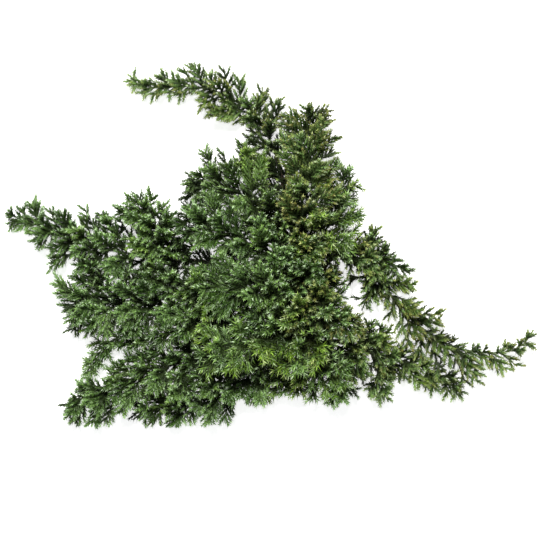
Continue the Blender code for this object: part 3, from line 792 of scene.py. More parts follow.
# %% How the limbs have grown
# The size of the needles, how far apart the short shoots stand, how warm the green is, and how
# bronzed the tips are.
GROWTH = {
    "centre_low": (1.35, 2.2, 0.8, 0.0),
    "over_stem": (1.4, 2.3, 0.9, 0.0),
    "over_butt": (1.3, 2.0, 0.7, 0.0),
    "bottom_middle": (1.25, 1.8, 0.5, 0.0),
    "right_up": (1.3, 2.0, 1.0, 0.1),
    "left_hook": (1.1, 1.3, 0.3, 0.0),
    "centre_middle": (0.98, 1.1, 0.2, 0.0),
    "centre_right": (0.94, 1.1, 0.1, 0.7),
    "left_arm": (0.9, 1.4, 0.0, 0.0),
    "upper_left": (0.9, 1.0, 0.0, 0.2),
    "top_arm": (0.88, 1.5, 0.0, 0.55),
    "top_right": (0.86, 1.1, 0.0, 0.8),
    "right_arm": (0.86, 1.9, 0.2, 0.75),
    "right_low": (0.9, 1.4, 0.0, 0.5),
    "right_hang": (0.86, 1.8, 0.0, 0.2),
    "right_tuft": (0.88, 1.6, 0.0, 0.2),
    "main_stem_spray_7": (0.92, 1.0, 0.3, 0.6),
    "main_stem_spray_2": (0.92, 1.0, 0.1, 0.5),
}
USUAL = (0.92, 1.0, 0.0, 0.0)
print("limbs and sprays with a growth of their own:", len(GROWTH))

# %% A long shoot and its look
class Branch:
    """A long shoot: its line, its radii and age at foot and tip, and its look."""

    def __init__(self, line, radii, age, look):
        self.line, self.radii, self.age, self.look = line, radii, age, look


def branch_look(name, rng):
    """Needle size, spacing, tone, warmth and bronze of one long shoot."""
    size, apart, warm, bronze = next((GROWTH[limb] for limb in GROWTH if name.startswith(limb)), USUAL)
    tone = rng.uniform(-1, 1)
    warmth = warm * 0.7 + rng.uniform(-0.6, 0.5)
    return size, apart, tone, warmth, bronze * rng.uniform(0.4, 1)

# %% Side shoots between the solids' own
EXTRA_SPACING = 5.5
FIRST_EXTRA = 4.0
SHORTEST_EXTRA = 6.0
EXTRA_ROLLS = (80, -84, 34, -62, 88, -30)
EXTRA_SHARE = (0.7, 1.05)  # of the limb's reach there
HIGHEST_TIP = 51.5  # so that the needles at the tip stay inside the sprig's height


def extra_sides(name, line, limb, offset, whole):
    """Lines of the further side shoots of a leafy stem, none of them far past its tip."""
    rng = random.Random(f"{name} extra")
    found, run, turn = [], FIRST_EXTRA, 0
    while run < line.length - SHORTEST_EXTRA:
        roll = EXTRA_ROLLS[turn % len(EXTRA_ROLLS)] + rng.uniform(-10, 10)
        spread = math.radians(rng.uniform(*SIDE_SPREAD))
        reach = along(limb["right" if roll > 0 else "left"], (offset + run) / whole)
        length = reach / math.sin(spread) * rng.uniform(*EXTRA_SHARE)
        length *= 1 - UPRIGHT_LOSS * math.cos(math.radians(roll))
        length = min(max(length, SHORTEST_EXTRA), LONGEST_SHOOT, 1.1 * (line.length - run) + 4)
        _, way = directions(line, run, math.radians(roll), spread)
        side = shoot_line(line.at(run), way, length)
        if max(p.z for p in side.points) < HIGHEST_TIP:
            found.append(side)
        run += EXTRA_SPACING * rng.uniform(0.85, 1.15)
        turn += 1
    return found


def stem_measures(piece):
    """For a piece's further side shoots: its limb's table, and where on the limb its stem lies."""
    name = piece.name.removesuffix("_leafy_end")
    if name == piece.name:
        return SPRAY_REACH, 0, piece.stem.line.length
    whole = lines[name].length
    return LIMBS[name], LIMBS[name]["bare"] * whole, whole

# %% The long shoots of each piece
ROOTED = 1.2  # how far a leafy stem is let into the brown wood
STEM_RADII = (1.3, 0.55)  # at the foot and at the tip
SIDE_RADII = (0.75, 0.45)
STEM_AGE = 1.0  # at the foot, where 1 is the oldest, and a tip is always 0
SIDE_AGE = 0.6


def branches_of(piece):
    """The long shoots of a piece: its stem, from inside the wood, and all its side shoots."""
    rng = random.Random(f"{piece.name} looks")
    stem, *sides = [shoot.line for shoot in piece.shoots]
    rooted = Line([stem.at(0) - stem.ahead(0) * ROOTED, *stem.points])
    found = [Branch(rooted, STEM_RADII, STEM_AGE, branch_look(piece.name, rng))]
    for line in sides + extra_sides(piece.name, stem, *stem_measures(piece)):
        found.append(Branch(line, SIDE_RADII, SIDE_AGE, branch_look(piece.name, rng)))
    return found


branches = {f"{piece.name}_foliage": branches_of(piece) for piece, _ in leafy}
print("long shoots:", sum(len(b) for b in branches.values()))

# %% [markdown]
# The sprays of the solids leave some wood uncovered. On the real sprig short green branchlets stand
# all along it, to the sides and upwards, so that from above hardly any bark shows. They get a piece
# of their own for each limb, because they stand for no solid.

# %% Branchlets along the wood
BRANCHLET_SPACING = 3.6
FIRST_BRANCHLET = 5.0
PAST_THE_WOOD = 6.0  # how far they go on where the limb turns green
BRANCHLET_ROLLS = (-70, 24, 66, -30, 82, -84, 0)
BRANCHLET_SPREAD = (45, 65)
BRANCHLET_LENGTH = (15, 25)


def wood_branchlets(name, limb, line):
    """The branchlets on a limb's bare wood, each growing from inside it."""
    rng = random.Random(f"{name} wood")
    found, run, turn = [], FIRST_BRANCHLET, rng.randrange(len(BRANCHLET_ROLLS))
    while run < limb["bare"] * line.length + PAST_THE_WOOD:
        roll = math.radians(BRANCHLET_ROLLS[turn % len(BRANCHLET_ROLLS)] + rng.uniform(-10, 10))
        _, way = directions(line, run, roll, math.radians(rng.uniform(*BRANCHLET_SPREAD)))
        side = shoot_line(line.at(run), way, rng.uniform(*BRANCHLET_LENGTH))
        if max(p.z for p in side.points) < HIGHEST_TIP:
            found.append(Branch(side, SIDE_RADII, SIDE_AGE, branch_look(name, rng)))
        run += BRANCHLET_SPACING * rng.uniform(0.85, 1.15)
        turn += 1
    return found


for name, limb in (("main_stem", MAIN_STEM), *LIMBS.items()):
    branches[f"{name}_branchlets"] = wood_branchlets(name, limb, lines[name])
print("with those along the wood:", sum(len(b) for b in branches.values()))

# %% [markdown]
# Needles deep in the mat get little light, so shade is painted darker into their colour there. How
# deep a point is can be told from the highest long shoot near it, so their points are sorted into a
# grid seen from above.

# %% How deep each point lies
CELL = 8.0
DEEPEST = 18.0  # where a needle is as dark as it gets

tops = {}
for point in (p for grown in branches.values() for branch in grown for p in branch.line.points):
    cell = (int(point.x // CELL), int(point.y // CELL))
    tops[cell] = max(tops.get(cell, 0), point.z)


def depth(point):
    """How deep a point lies in the mat, from 0 at its top to 1."""
    a, b = int(point.x // CELL), int(point.y // CELL)
    around = ((a + i, b + j) for i in (-1, 0, 1) for j in (-1, 0, 1))
    near = [tops[cell] for cell in around if cell in tops] or [0]
    top = (max(near) + sum(near) / len(near)) / 2
    return min(max((top - point.z) / DEEPEST, 0), 1)


print("cells with shoots:", len(tops), "highest point in mm:", round(max(tops.values()), 1))

# %% [markdown]
# ## The short shoots
#
# Seen from above, the mat is made of short shoots, each a small brush of needles. A long shoot carries
# one every millimetre or two, most of them nearly flat to its sides and bending ahead, and longest
# near its foot. They could be scattered over a surface instead, but then they would grow out of
# nothing.

# %% A shoot to be clothed
class Twig:
    """A shoot to be clothed: a few points, its radii, needle size, age at the foot and look."""

    def __init__(self, points, radii, size, age, look):
        self.points, self.radii, self.size, self.age = points, radii, size * look[0], age
        self.tone, self.warm, self.bronze = look[2:]


def thinned(line, step):
    """A few even points of a line."""
    count = max(2, round(line.length / step))
    return [line.at(line.length * i / count) for i in range(count + 1)]

# %% [markdown]
# Two tips never fill the same spot on the plant, because each grows towards the light. Here a new tip
# is kept only if no other is near, and sorting the tips into cells keeps that test quick.

# %% Room between the tips
TIP_ROOM = 2.6  # between the tips of short shoots


class Tips:
    """The tips placed so far, sorted into cells, so that the next one can look for room."""

    def __init__(self, room):
        self.room, self.cells = room, {}

    def cell(self, point):
        return tuple(int(x // self.room) for x in point)

    def take(self, point):
        """True, and the place is taken, if no other tip is nearer than the room."""
        a, b, c = self.cell(point)
        near = ((a + i, b + j, c + k) for i in (-1, 0, 1) for j in (-1, 0, 1) for k in (-1, 0, 1))
        if any((point - tip).length < self.room for cell in near for tip in self.cells.get(cell, ())):
            return False
        self.cells.setdefault((a, b, c), []).append(point)
        return True


tips = Tips(TIP_ROOM)

# %% [markdown]
# A short shoot bends ahead and a little upwards. Needles at the sprig's edge may reach a few
# millimetres past the box of the solids, but the shoots under them may not. So one at the very edge
# is shortened until it ends inside, and left out if that makes it a mere stump.

# %% The line of a short shoot
SHORT_BEND = 0.22  # of its length, by which it bends ahead
SHORT_RISE = 0.06  # of its length, by which it bends up
LEAST_SHORT = 3.0  # shorter than this, one is left out


def short_points(start, way, bend, length):
    """Three points of a short shoot that bends, between the table and the highest tips."""
    points = []
    for i in range(3):
        t = i / 2
        point = start + way * (length * t) + bend * (length * t * t)
        point.z = max(min(point.z, max(HIGHEST_TIP, start.z)), min(LOWEST_SHOOT, start.z + length * t))
        points.append(point)
    return points


def outside(point):
    """How far a point is outside the box of the solids, seen from above. Less than 0 is inside."""
    (left, near, _), (right, far, _) = sprig_low, sprig_high
    return max(left - point.x, point.x - right, near - point.y, point.y - far)


def short_shoot(start, way, ahead, length):
    """The points of a short shoot, or None where it has no room."""
    bend = ahead * SHORT_BEND + UP * SHORT_RISE
    points = short_points(start, way, bend, length)
    while outside(points[-1]) > 0 and length > LEAST_SHORT:
        length *= 0.75
        points = short_points(start, way, bend, length)
    return points if length > LEAST_SHORT else None

# %% Short shoots along one long shoot
SHORT_SPACING = 1.25  # from one short shoot to the next along a long one
SHORT_LENGTHS = (11.0, 6.2)  # near the foot of a long shoot and near its tip
SHORT_SPREADS = (50, 38)  # degrees from the long shoot's line, near its foot and near its tip
SHORT_ROLLS = (-86, 72, 84, -64, -76, 80, 50, -56)  # degrees round the long shoot, from straight up
SHORT_RADII = (1.3, 0.9)  # at the foot and at the tip
SHORT_NEEDLES = 1.0  # the size of their needles, times that of the limb's growth
LOST = 0.75  # share of the short shoots that is missing where it's deepest


def short_shoots(branch, rng):
    """The short shoots of one long shoot that have room, by a seeded rule."""
    line, (size, apart, tone, warm, bronze) = branch.line, branch.look
    found, run = [], rng.uniform(1.5, 3)
    turn = rng.randrange(len(SHORT_ROLLS))
    while run < line.length - 1:
        share = run / line.length
        roll = SHORT_ROLLS[turn % len(SHORT_ROLLS)] + rng.uniform(-14, 14)
        spread = math.radians(between(SHORT_SPREADS, share) + rng.uniform(-8, 8))
        _, way = directions(line, run, math.radians(roll), spread)
        length = between(SHORT_LENGTHS, share) * rng.uniform(0.75, 1.15)
        length = min(length, 0.35 * line.length + 2)
        points = short_shoot(line.at(run), way, line.ahead(run), length)
        luck = rng.random()
        if points and luck >= LOST * depth(points[-1]) and tips.take(points[-1]):
            look = (size, apart, tone + rng.uniform(-0.5, 0.5), warm, bronze)
            found.append(Twig(points, SHORT_RADII, SHORT_NEEDLES, branch.age * (1 - share), look))
        run += SHORT_SPACING * apart * rng.uniform(0.75, 1.25)
        turn += 1
    return found

# %% All shoots to be clothed
LONG_STEP = 5  # between the points of a long shoot
LONG_NEEDLES = 0.95  # the size of its needles, times that of the limb's growth


def all_twigs(name, grown):
    """The shoots to be clothed of one piece."""
    rng = random.Random(f"{name} short")
    found = []
    for branch in grown:
        long = thinned(branch.line, LONG_STEP)
        found.append(Twig(long, branch.radii, LONG_NEEDLES, branch.age, branch.look))
        found += short_shoots(branch, rng)
    return found


twigs = {name: all_twigs(name, grown) for name, grown in branches.items()}
print("shoots to clothe:", sum(len(t) for t in twigs.values()))

# %% [markdown]
# ## Node trees in Python
#
# Both the needles and the finishes are node trees. They could be laid out by hand in the editor. This
# small wrapper lets a sum in the script add its Math node instead, so that a rule reads as a formula
# and not as a list of links.

# %% A socket that can be reckoned with
class Wire:
    """An output socket. Sums and products with it add the nodes that work them out."""

    def __init__(self, tree, socket):
        self.tree, self.socket = tree, socket

    def math(self, operation, *others, mirrored=False):
        values = (*others, self) if mirrored else (self, *others)
        node = self.tree.nodes.new("ShaderNodeMath")
        node.operation = operation
        for socket, value in zip(node.inputs, values):
            plug(self.tree, socket, value)
        return Wire(self.tree, node.outputs[0])

    def __add__(self, other):
        return self.math("ADD", other)

    def __sub__(self, other):
        return self.math("SUBTRACT", other)

    def __rsub__(self, other):
        return self.math("SUBTRACT", other, mirrored=True)

    def __mul__(self, other):
        return self.math("MULTIPLY", other)

    __radd__, __rmul__ = __add__, __mul__


def plug(tree, socket, value):
    """Links a wire to a socket, or sets a plain value on it."""
    if isinstance(value, Wire):
        tree.links.new(value.socket, socket)
    else:
        socket.default_value = value

# %% [markdown]
# Any node that isn't a sum comes from one method. It takes the node's type, its settings, and the
# values or wires for its sockets by their names.

# %% Any other node
class Maker:
    """Adds nodes to a tree."""

    def __init__(self, tree):
        self.tree = tree

    def __call__(self, kind, settings=None, out=None, **sockets):
        """A new node's first output, the one that out names, or a list where it names several."""
        node = self.tree.nodes.new(kind)
        for name, value in (settings or {}).items():
            setattr(node, name, value)
        for name, value in sockets.items():
            name = name.replace("_", " ")
            plug(self.tree, next(s for s in node.inputs if s.enabled and s.name == name), value)
        shown = {s.name: Wire(self.tree, s) for s in node.outputs if s.enabled}
        if isinstance(out, tuple):
            return [shown[name] for name in out]
        return shown[out] if out else next(iter(shown.values()))

    def eased(self, value, start, end, low=0.0, high=1.0):
        """Low before start, high past end, and a smooth change between."""
        return self("ShaderNodeMapRange", {"interpolation_type": "SMOOTHSTEP"}, Value=value,
                    From_Min=start, From_Max=end, To_Min=low, To_Max=high)

# %% [markdown]
# ## One needle
#
# A juniper needle is an awl: broad and flat on its upper side, keeled below, bent slightly inwards
# and sharp. A dozen faces could round it, but there will be some 180,000, and at their size nobody
# would see it. So each has four corners only: the root, the two at its widest and the point. It is
# one unit long, along +Z, with its upper side towards -X. The attribute "place" says where on the
# needle a point is: across, along, and whether on the keel's side.

# %% The needle's form
NEEDLE_WIDTH = 0.17  # against its length
WIDEST = 0.34  # of the way to its point


def needle_form(name, bend, sideways):
    """A needle of length one whose point is moved inwards or out, and to a side."""
    half = NEEDLE_WIDTH / 2
    corners = [(0, 0, 0), (-bend * WIDEST - half, sideways * WIDEST - half, WIDEST),
               (-bend * WIDEST - half, sideways * WIDEST + half, WIDEST), (-bend, sideways, 1)]
    across_along = [(0, 0), (-1, WIDEST), (1, WIDEST), (0, 1)]
    faces = [(0, 1, 2), (1, 3, 2), (0, 3, 1), (0, 2, 3)]
    mesh = bpy.data.meshes.new(name)
    mesh.from_pydata(corners, [], faces)
    mark = mesh.attributes.new("place", "FLOAT_VECTOR", "CORNER")
    places = [(*across_along[i], float(face > 1)) for face, of in enumerate(faces) for i in of]
    mark.data.foreach_set("vector", [x for place in places for x in place])
    return bpy.data.objects.new(name, mesh)


needle_forms = bpy.data.collections.new("needle_forms")
for i, (bend, sideways) in enumerate(((-0.04, 0.02), (0.02, -0.03), (0.08, 0.03))):
    needle_forms.objects.link(needle_form(f"needle_form_{i}", bend, sideways))

# %% [markdown]
# ## Needles along shoots
#
# The tree takes the shoots as bare edges. It gives each a skin, sets points along it, makes a whorl
# of three of every point, and puts a needle on each. Needles stand out from the shoot, and are
# shorter and lean in a little more at its tip. A loop in the script could place them too, but the
# nodes do it in a second or two, and their inputs can be changed afterwards. The seed is fixed, so
# the sprig is the same every time.

# %% Inputs of the tree
def add_inputs(tree):
    """The named inputs of the tree, and the identifier of each."""
    tree.interface.new_socket("Pieces", in_out="OUTPUT", socket_type="NodeSocketGeometry")
    found = {}
    for name, kind in (("Shoots", "Geometry"), ("Whorl step", "Float"), ("Needle length", "Float"),
                       ("Lean at the foot", "Float"), ("Lean at the tip", "Float"), ("Seed", "Int"),
                       ("Needles", "Collection"), ("Needle finish", "Material"),
                       ("Shoot finish", "Material")):
        made = tree.interface.new_socket(name, in_out="INPUT", socket_type=f"NodeSocket{kind}")
        found[name] = made.identifier
    return found


shoot_tree = bpy.data.node_groups.new("needled_shoots", "GeometryNodeTree")
tree_inputs = add_inputs(shoot_tree)
add = Maker(shoot_tree)
inputs = shoot_tree.nodes.new("NodeGroupInput")
given = {name: Wire(shoot_tree, inputs.outputs[name]) for name in tree_inputs}
print("inputs of the needle tree:", ", ".join(given))

# %% Attributes and chance in the tree
def read(name, kind="FLOAT"):
    """A stored attribute of each point."""
    return add("GeometryNodeInputNamedAttribute", {"data_type": kind}, Name=name)


def keep(geometry, name, value, domain="POINT", kind="FLOAT"):
    """The geometry with an attribute stored on it."""
    settings = {"data_type": kind, "domain": domain}
    return add("GeometryNodeStoreNamedAttribute", settings, Geometry=geometry, Name=name, Value=value)


def chance(low, high, salt, kind="FLOAT"):
    """A random value for each point. The salt keeps one draw apart from the next."""
    seed = given["Seed"] + salt
    return add("FunctionNodeRandomValue", {"data_type": kind}, Min=low, Max=high, Seed=seed)

# %% Skins of the shoots
curves = add("GeometryNodeMeshToCurve", Mesh=given["Shoots"])
curves = keep(curves, "tip", add("GeometryNodeSplineParameter"))
outline = add("GeometryNodeCurvePrimitiveCircle", {"mode": "RADIUS"}, Resolution=3, Radius=1.0)
skins = add("GeometryNodeCurveToMesh", Curve=curves, Profile_Curve=outline, Scale=read("thick"),
            Fill_Caps=True)
skins = keep(skins, "is_shoot", True, kind="BOOLEAN")

# %% [markdown]
# Each whorl is turned by a sixth against the one before it, so that its needles stand over the gaps,
# and none is quite regular: small random turns, leans and sizes see to that.

# %% Whorls of three
LOOSE_WHORL = 0.25  # radians by which a whorl may be turned further
LOOSE_NEEDLE = 0.18  # radians by which one of its needles may be

points, turning = add("GeometryNodeCurveToPoints", {"mode": "LENGTH"}, out=("Points", "Rotation"),
                      Curve=curves, Length=given["Whorl step"] * read("size"))
sixth = add("GeometryNodeInputIndex").math("MODULO", 2) * (math.pi / 3)
points = keep(points, "turn", sixth + chance(-LOOSE_WHORL, LOOSE_WHORL, 1))
points, third = add("GeometryNodeDuplicateElements", {"domain": "POINT"},
                    out=("Geometry", "Duplicate Index"), Geometry=points, Amount=3)
roll = read("turn") + third * (2 * math.pi / 3) + chance(-LOOSE_NEEDLE, LOOSE_NEEDLE, 2)

# %% Lean and size of the needles
closing = add.eased(read("tip"), 0.35, 1.0)
lean = given["Lean at the foot"] * (1 - closing) + given["Lean at the tip"] * closing
lean = lean * add.eased(read("size"), 0.8, 1.4, 0.85, 1.05) * chance(0.85, 1.15, 3)
tall = read("size") * given["Needle length"] * chance(0.84, 1.08, 4)
tall = tall * add.eased(read("tip"), 0.5, 1.0, 1.0, 0.64)
broad = given["Needle length"] * chance(0.85, 1.1, 8)

# %% Needles on the whorls
for axis, angle in (((0, 0, 1), roll), ((0, 1, 0), lean)):
    by = add("FunctionNodeAxisAngleToRotation", Axis=axis, Angle=angle)
    turning = add("FunctionNodeRotateRotation", {"rotation_space": "LOCAL"}, Rotation=turning,
                  Rotate_By=by)
form = add("GeometryNodeCollectionInfo", Collection=given["Needles"], Separate_Children=True,
           Reset_Children=True)
needles = add("GeometryNodeInstanceOnPoints", Points=points, Instance=form, Pick_Instance=True,
              Instance_Index=chance(0, 2, 5, "INT"), Rotation=turning,
              Scale=add("ShaderNodeCombineXYZ", X=broad, Y=broad, Z=tall))
needles = keep(needles, "needle_tone", chance(-1, 1, 6), domain="INSTANCE")

# %% [markdown]
# Skins and needles become one plain mesh, and nothing may dip under the table or stand clear above the
# solids: a needle that would is bent flat there, as a real one is pressed.

# %% Join, press to the table and finish
LOWEST_NEEDLE = 0.4 * MM
HIGHEST_NEEDLE = solid_box[1][2] + 0.8 * MM

join = shoot_tree.nodes.new("GeometryNodeJoinGeometry")
for part in (needles, skins):
    shoot_tree.links.new(part.socket, join.inputs[0])
whole = add("GeometryNodeRealizeInstances", Geometry=Wire(shoot_tree, join.outputs[0]))
x, y, z = add("ShaderNodeSeparateXYZ", out=("X", "Y", "Z"), Vector=add("GeometryNodeInputPosition"))
z = z.math("MAXIMUM", LOWEST_NEEDLE).math("MINIMUM", HIGHEST_NEEDLE)
pressed = add("ShaderNodeCombineXYZ", X=x, Y=y, Z=z)
whole = add("GeometryNodeSetPosition", Geometry=whole, Position=pressed)
whole = add("GeometryNodeSetMaterial", Geometry=whole, Material=given["Needle finish"])
whole = add("GeometryNodeSetMaterial", Geometry=whole, Selection=read("is_shoot", "BOOLEAN"),
            Material=given["Shoot finish"])
result = shoot_tree.nodes.new("NodeGroupOutput")
shoot_tree.links.new(whole.socket, result.inputs[0])
print("nodes in the needle tree:", len(shoot_tree.nodes))

# %% [markdown]
# ## Finishes
#
# Every finish is worked out from attributes and noise, without any picture. These few helpers say
# what all of them need: a new material, a colour between two, noise and an attribute.

# %% A new finish
def finish(name, roughness):
    """A new material, its Maker and its surface node."""
    material = bpy.data.materials.new(name)
    material.use_nodes = True
    surface = material.node_tree.nodes["Principled BSDF"]
    surface.inputs["Roughness"].default_value = roughness
    return material, Maker(material.node_tree), surface


def mixed(make, share, first, second):
    """A colour between two."""
    settings = {"data_type": "RGBA"}
    return make("ShaderNodeMix", settings, Factor=share, A=shade(first), B=shade(second))


def shade(colour):
    """A colour as a socket takes it."""
    return colour if isinstance(colour, Wire) else (*colour, 1)


def noise(make, where, scale, detail=2.0):
    """Noise from 0 to 1, with about so many patches to a unit of the place."""
    return make("ShaderNodeTexNoise", Vector=where, Scale=scale, Detail=detail)


def attribute(make, name, out="Fac"):
    """An attribute that the mesh carries."""
    return make("ShaderNodeAttribute", {"attribute_name": name}, out=out)


def place_on(make):
    """The place on the piece, in metres."""
    return make("ShaderNodeTexCoord", out="Object")

# %% [markdown]
# The needles are green with a bluish bloom. Whole clumps of them are lighter or darker, so are single
# shoots and single needles, and the tips are the freshest. Young limbs are yellower. One noise could
# give all that variety, but then it would cut across the shoots instead of following them.

# %% The needles' green
FRESH = (0.265, 0.450, 0.125)
DEEP = (0.062, 0.140, 0.020)
YELLOWER = (0.340, 0.560, 0.050)


def green(make, tone):
    """From deep to fresh green by a tone, and fresher towards a shoot's tip."""
    return mixed(make, make.eased(tone + attribute(make, "tip") * 0.7, -0.6, 1.2), DEEP, FRESH)


needle_finish, make, surface = finish("juniper_needles", 0.5)
where = place_on(make)
tip = attribute(make, "tip")
clump = make.eased(noise(make, where, 50.0, 4.0), 0.37, 0.63, -1.4, 1.3)
tone = attribute(make, "tone") * 0.8 + attribute(make, "needle_tone") * 0.95 + clump
warm = attribute(make, "warm") + make.eased(noise(make, where, 22.0), 0.45, 0.75) * 0.6
colour = mixed(make, make.eased(warm, 0.1, 1.3) * 0.7, green(make, tone), YELLOWER)

# %% [markdown]
# Cold has bronzed the tips of some limbs, and the oldest needles, near the feet of the long shoots,
# have withered.

# %% Bronzed and withered needles
BRONZED = (0.360, 0.300, 0.085)
WITHERED = (0.110, 0.085, 0.035)

bronze = attribute(make, "bronze")
ends = make.eased(tip + noise(make, where, 35.0), 0.8, 1.4)
colour = mixed(make, ends * bronze * 0.8, colour, BRONZED)
old = make.eased(attribute(make, "age") + bronze * 0.3 + noise(make, where, 60.0) * 0.5, 0.7, 1.25)
colour = mixed(make, old * 0.8, colour, WITHERED)

# %% [markdown]
# Two pale bands of wax run along the hollow upper side of a needle, and a thinner film of it lies on
# the rest. Not every needle shows it, and on yellower and bronzed shoots it looks olive. The point is
# straw-coloured. At this size an image for each needle would be a waste: the attribute "place" says
# where the bands and the point are.

# %% Wax and points
WAX = (0.590, 0.740, 0.500)
OLIVE = (0.520, 0.540, 0.220)
STRAW = (0.380, 0.320, 0.110)

side, height, keel = make("ShaderNodeSeparateXYZ", out=("X", "Y", "Z"),
                          Vector=attribute(make, "place", "Vector"))
from_middle = side.math("ABSOLUTE")
band = make.eased(from_middle, 0.75, 0.55) * make.eased(from_middle, 0.02, 0.15)
band = band * (1 - keel) * make.eased(height, 0.95, 0.8)
waxy = make.eased(attribute(make, "needle_tone") + tip * 0.5, 0.35, 1.0)
wax = mixed(make, make.eased(warm * 0.6 + bronze, 0.2, 1.0), WAX, OLIVE)
colour = mixed(make, (band * 0.4 + 0.6) * waxy * 0.8, colour, wax)
colour = mixed(make, make.eased(height, 0.86, 0.98) * 0.5, colour, STRAW)

# %% [markdown]
# Hardly any light reaches the inside of the mat. A render finds most of that by itself, but needles
# this few let more light in than the real ones, so shade is painted into the colour as well: it
# darkens with the depth in the mat and towards the foot of a shoot.

# %% Painted shade inside the mat
UNLIT = (0.011, 0.019, 0.004)


def with_painted_shade(make, colour, foot):
    """The colour with painted shade: nearly black deep in the mat, and darker towards a shoot's foot by
    that much.
    """
    painted_shade_share = make.eased(attribute(make, "depth") + (1 - attribute(make, "tip")) * foot, 0.0, 0.9)
    return mixed(make, painted_shade_share * 0.92, colour, UNLIT)


# painted shade: the needles' colour darkens deep in the mat and towards each shoot's foot
plug(make.tree, surface.inputs["Base Color"], with_painted_shade(make, colour, 0.55))
plug(make.tree, surface.inputs["Roughness"], 0.45 + band * 0.3)
surface.inputs["Specular IOR Level"].default_value = 0.22  # a bloom of wax keeps needles dull
print("nodes in the needles' finish:", len(make.tree.nodes))

# %% [markdown]
# The skin of a shoot is as green as its needles where it's young, and turns brown with age. It shows
# only in small gaps, so a fine grain in its colour and bump is detail enough. Deep in the mat and
# towards its foot it gets the same painted shade as the needles.

# %% The green shoots' finish
AGED = (0.14, 0.075, 0.04)
SPECK = (0.05, 0.09, 0.025)

shoot_finish, make, surface = finish("green_shoots", 0.6)
grain = noise(make, place_on(make), 900.0)
aged = make.eased(attribute(make, "age") + grain * 0.4, 0.7, 1.1)
colour = mixed(make, aged, green(make, attribute(make, "tone")), AGED)
colour = mixed(make, grain * 0.4, colour, SPECK)
# painted shade on the shoots' skin, as on the needles
plug(make.tree, surface.inputs["Base Color"], with_painted_shade(make, colour, 0.5))
bump = make("ShaderNodeBump", Strength=0.4, Distance=0.0003, Height=grain)
plug(make.tree, surface.inputs["Normal"], bump)
print("nodes in the shoots' finish:", len(make.tree.nodes))

# %% [markdown]
# ## Dress each leafy piece
#
# The shoots of a piece become a mesh of bare edges with a radius, needle size, age and tone at every
# point. The tree clothes it, the result is kept as a plain mesh, and it takes its solid's place.
# Curve objects could carry the shoots as well, but a mesh takes thousands of them in one go.

# %% Edges with attributes
def placed(name, mesh):
    """An object at the origin that shows a mesh."""
    made = bpy.data.objects.new(name, mesh)
    bpy.context.scene.collection.objects.link(made)
    return made


def shoot_edges(name, grown):
    """A mesh object of edges only, one chain for each shoot."""
    corners, edges = [], []
    values = {"thick": [], "size": [], "age": [], "tone": [], "warm": [], "bronze": [], "depth": []}
    for twig in grown:
        last = len(twig.points) - 1
        edges += [(len(corners) + i, len(corners) + i + 1) for i in range(last)]
        for i, point in enumerate(twig.points):
            corners.append((point - MIDDLE) * MM)
            values["thick"].append(between(twig.radii, i / last) * MM)
            values["size"].append(twig.size)
            values["age"].append(twig.age * (1 - i / last))
            values["tone"].append(twig.tone)
            values["warm"].append(twig.warm)
            values["bronze"].append(twig.bronze)
            values["depth"].append(depth(point))
    mesh = bpy.data.meshes.new(name)
    mesh.from_pydata(corners, edges, [])
    for label, numbers in values.items():
        mesh.attributes.new(label, "FLOAT", "POINT").data.foreach_set("value", numbers)
    return placed(name, mesh)

# %% Clothe the shoots
TREE_VALUES = {
    "Whorl step": 1.65 * MM,
    "Needle length": 7.0 * MM,
    "Lean at the foot": math.radians(36),
    "Lean at the tip": math.radians(33),
    "Needles": needle_forms,
    "Needle finish": needle_finish,
    "Shoot finish": shoot_finish,
}


def clothed(name, grown, seed):
    """The piece of that name, its shoots with skins and needles, as one plain mesh."""
    bare = shoot_edges(f"{name}_edges", grown)
    grow = bare.modifiers.new("Needles", "NODES")
    grow.node_group = shoot_tree
    for label, value in {**TREE_VALUES, "Seed": seed}.items():
        grow[tree_inputs[label]] = value
    graph = bpy.context.evaluated_depsgraph_get()
    mesh = bpy.data.meshes.new_from_object(bare.evaluated_get(graph))
    bpy.data.objects.remove(bare)
    return placed(name, mesh)


def triangles(piece):
    """How many triangles a piece has."""
    return sum(len(face.vertices) - 2 for face in piece.data.polygons)


total = 0
for seed, (name, grown) in enumerate(twigs.items()):
    dressed = clothed(name, grown, seed * 10)
    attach(dressed, "root")
    if name.endswith("_foliage"):
        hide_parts(name.removesuffix("_foliage"))
    total += triangles(dressed)
for form in list(needle_forms.objects):
    bpy.data.objects.remove(form)
bpy.data.collections.remove(needle_forms)
print("triangles of the foliage:", total)

# %% [markdown]
# ## The wood
#
# Bark wraps every limb in thin strips that run along it. Each stretch is a round tube on the limb's
# own line, slightly uneven, and all are fused into one body. A voxel remesh would fuse them too, but
# it would lose the map that the bark's strips follow.

# %% A round tube
BARK_SIDES = 14
BARK_STEP = 2.5
BARK_WAVES = 0.07  # how uneven the bark is, against its radius


def bark_tube(name, line, radii):
    """A closed round stretch of wood, slightly uneven."""
    count = max(2, round(line.length / BARK_STEP))
    side = across(line.ahead(0).cross(UP), line.ahead(0))
    corners, faces = [], []
    for k in range(count + 1):
        run = line.length * k / count
        ahead = line.ahead(run)
        side = across(side, ahead)
        middle = line.at(run)
        for corner in ring(middle, side, ahead, between(radii, k / count), BARK_SIDES, 0):
            wave = unevenness.noise(corner * 0.35) + 0.5 * unevenness.noise(corner * 1.1)
            corners.append((middle + (corner - middle) * (1 + BARK_WAVES * wave) - MIDDLE) * MM)
    for k in range(count):
        for j in range(BARK_SIDES):
            a, b = k * BARK_SIDES + j, k * BARK_SIDES + (j + 1) % BARK_SIDES
            faces.append((a, b, b + BARK_SIDES, a + BARK_SIDES))
    faces.append(tuple(reversed(range(BARK_SIDES))))
    faces.append(tuple(range(count * BARK_SIDES, (count + 1) * BARK_SIDES)))
    mesh = bpy.data.meshes.new(name)
    mesh.from_pydata(corners, [], faces)
    lay_map(mesh, count, line.length)
    return placed(name, mesh)

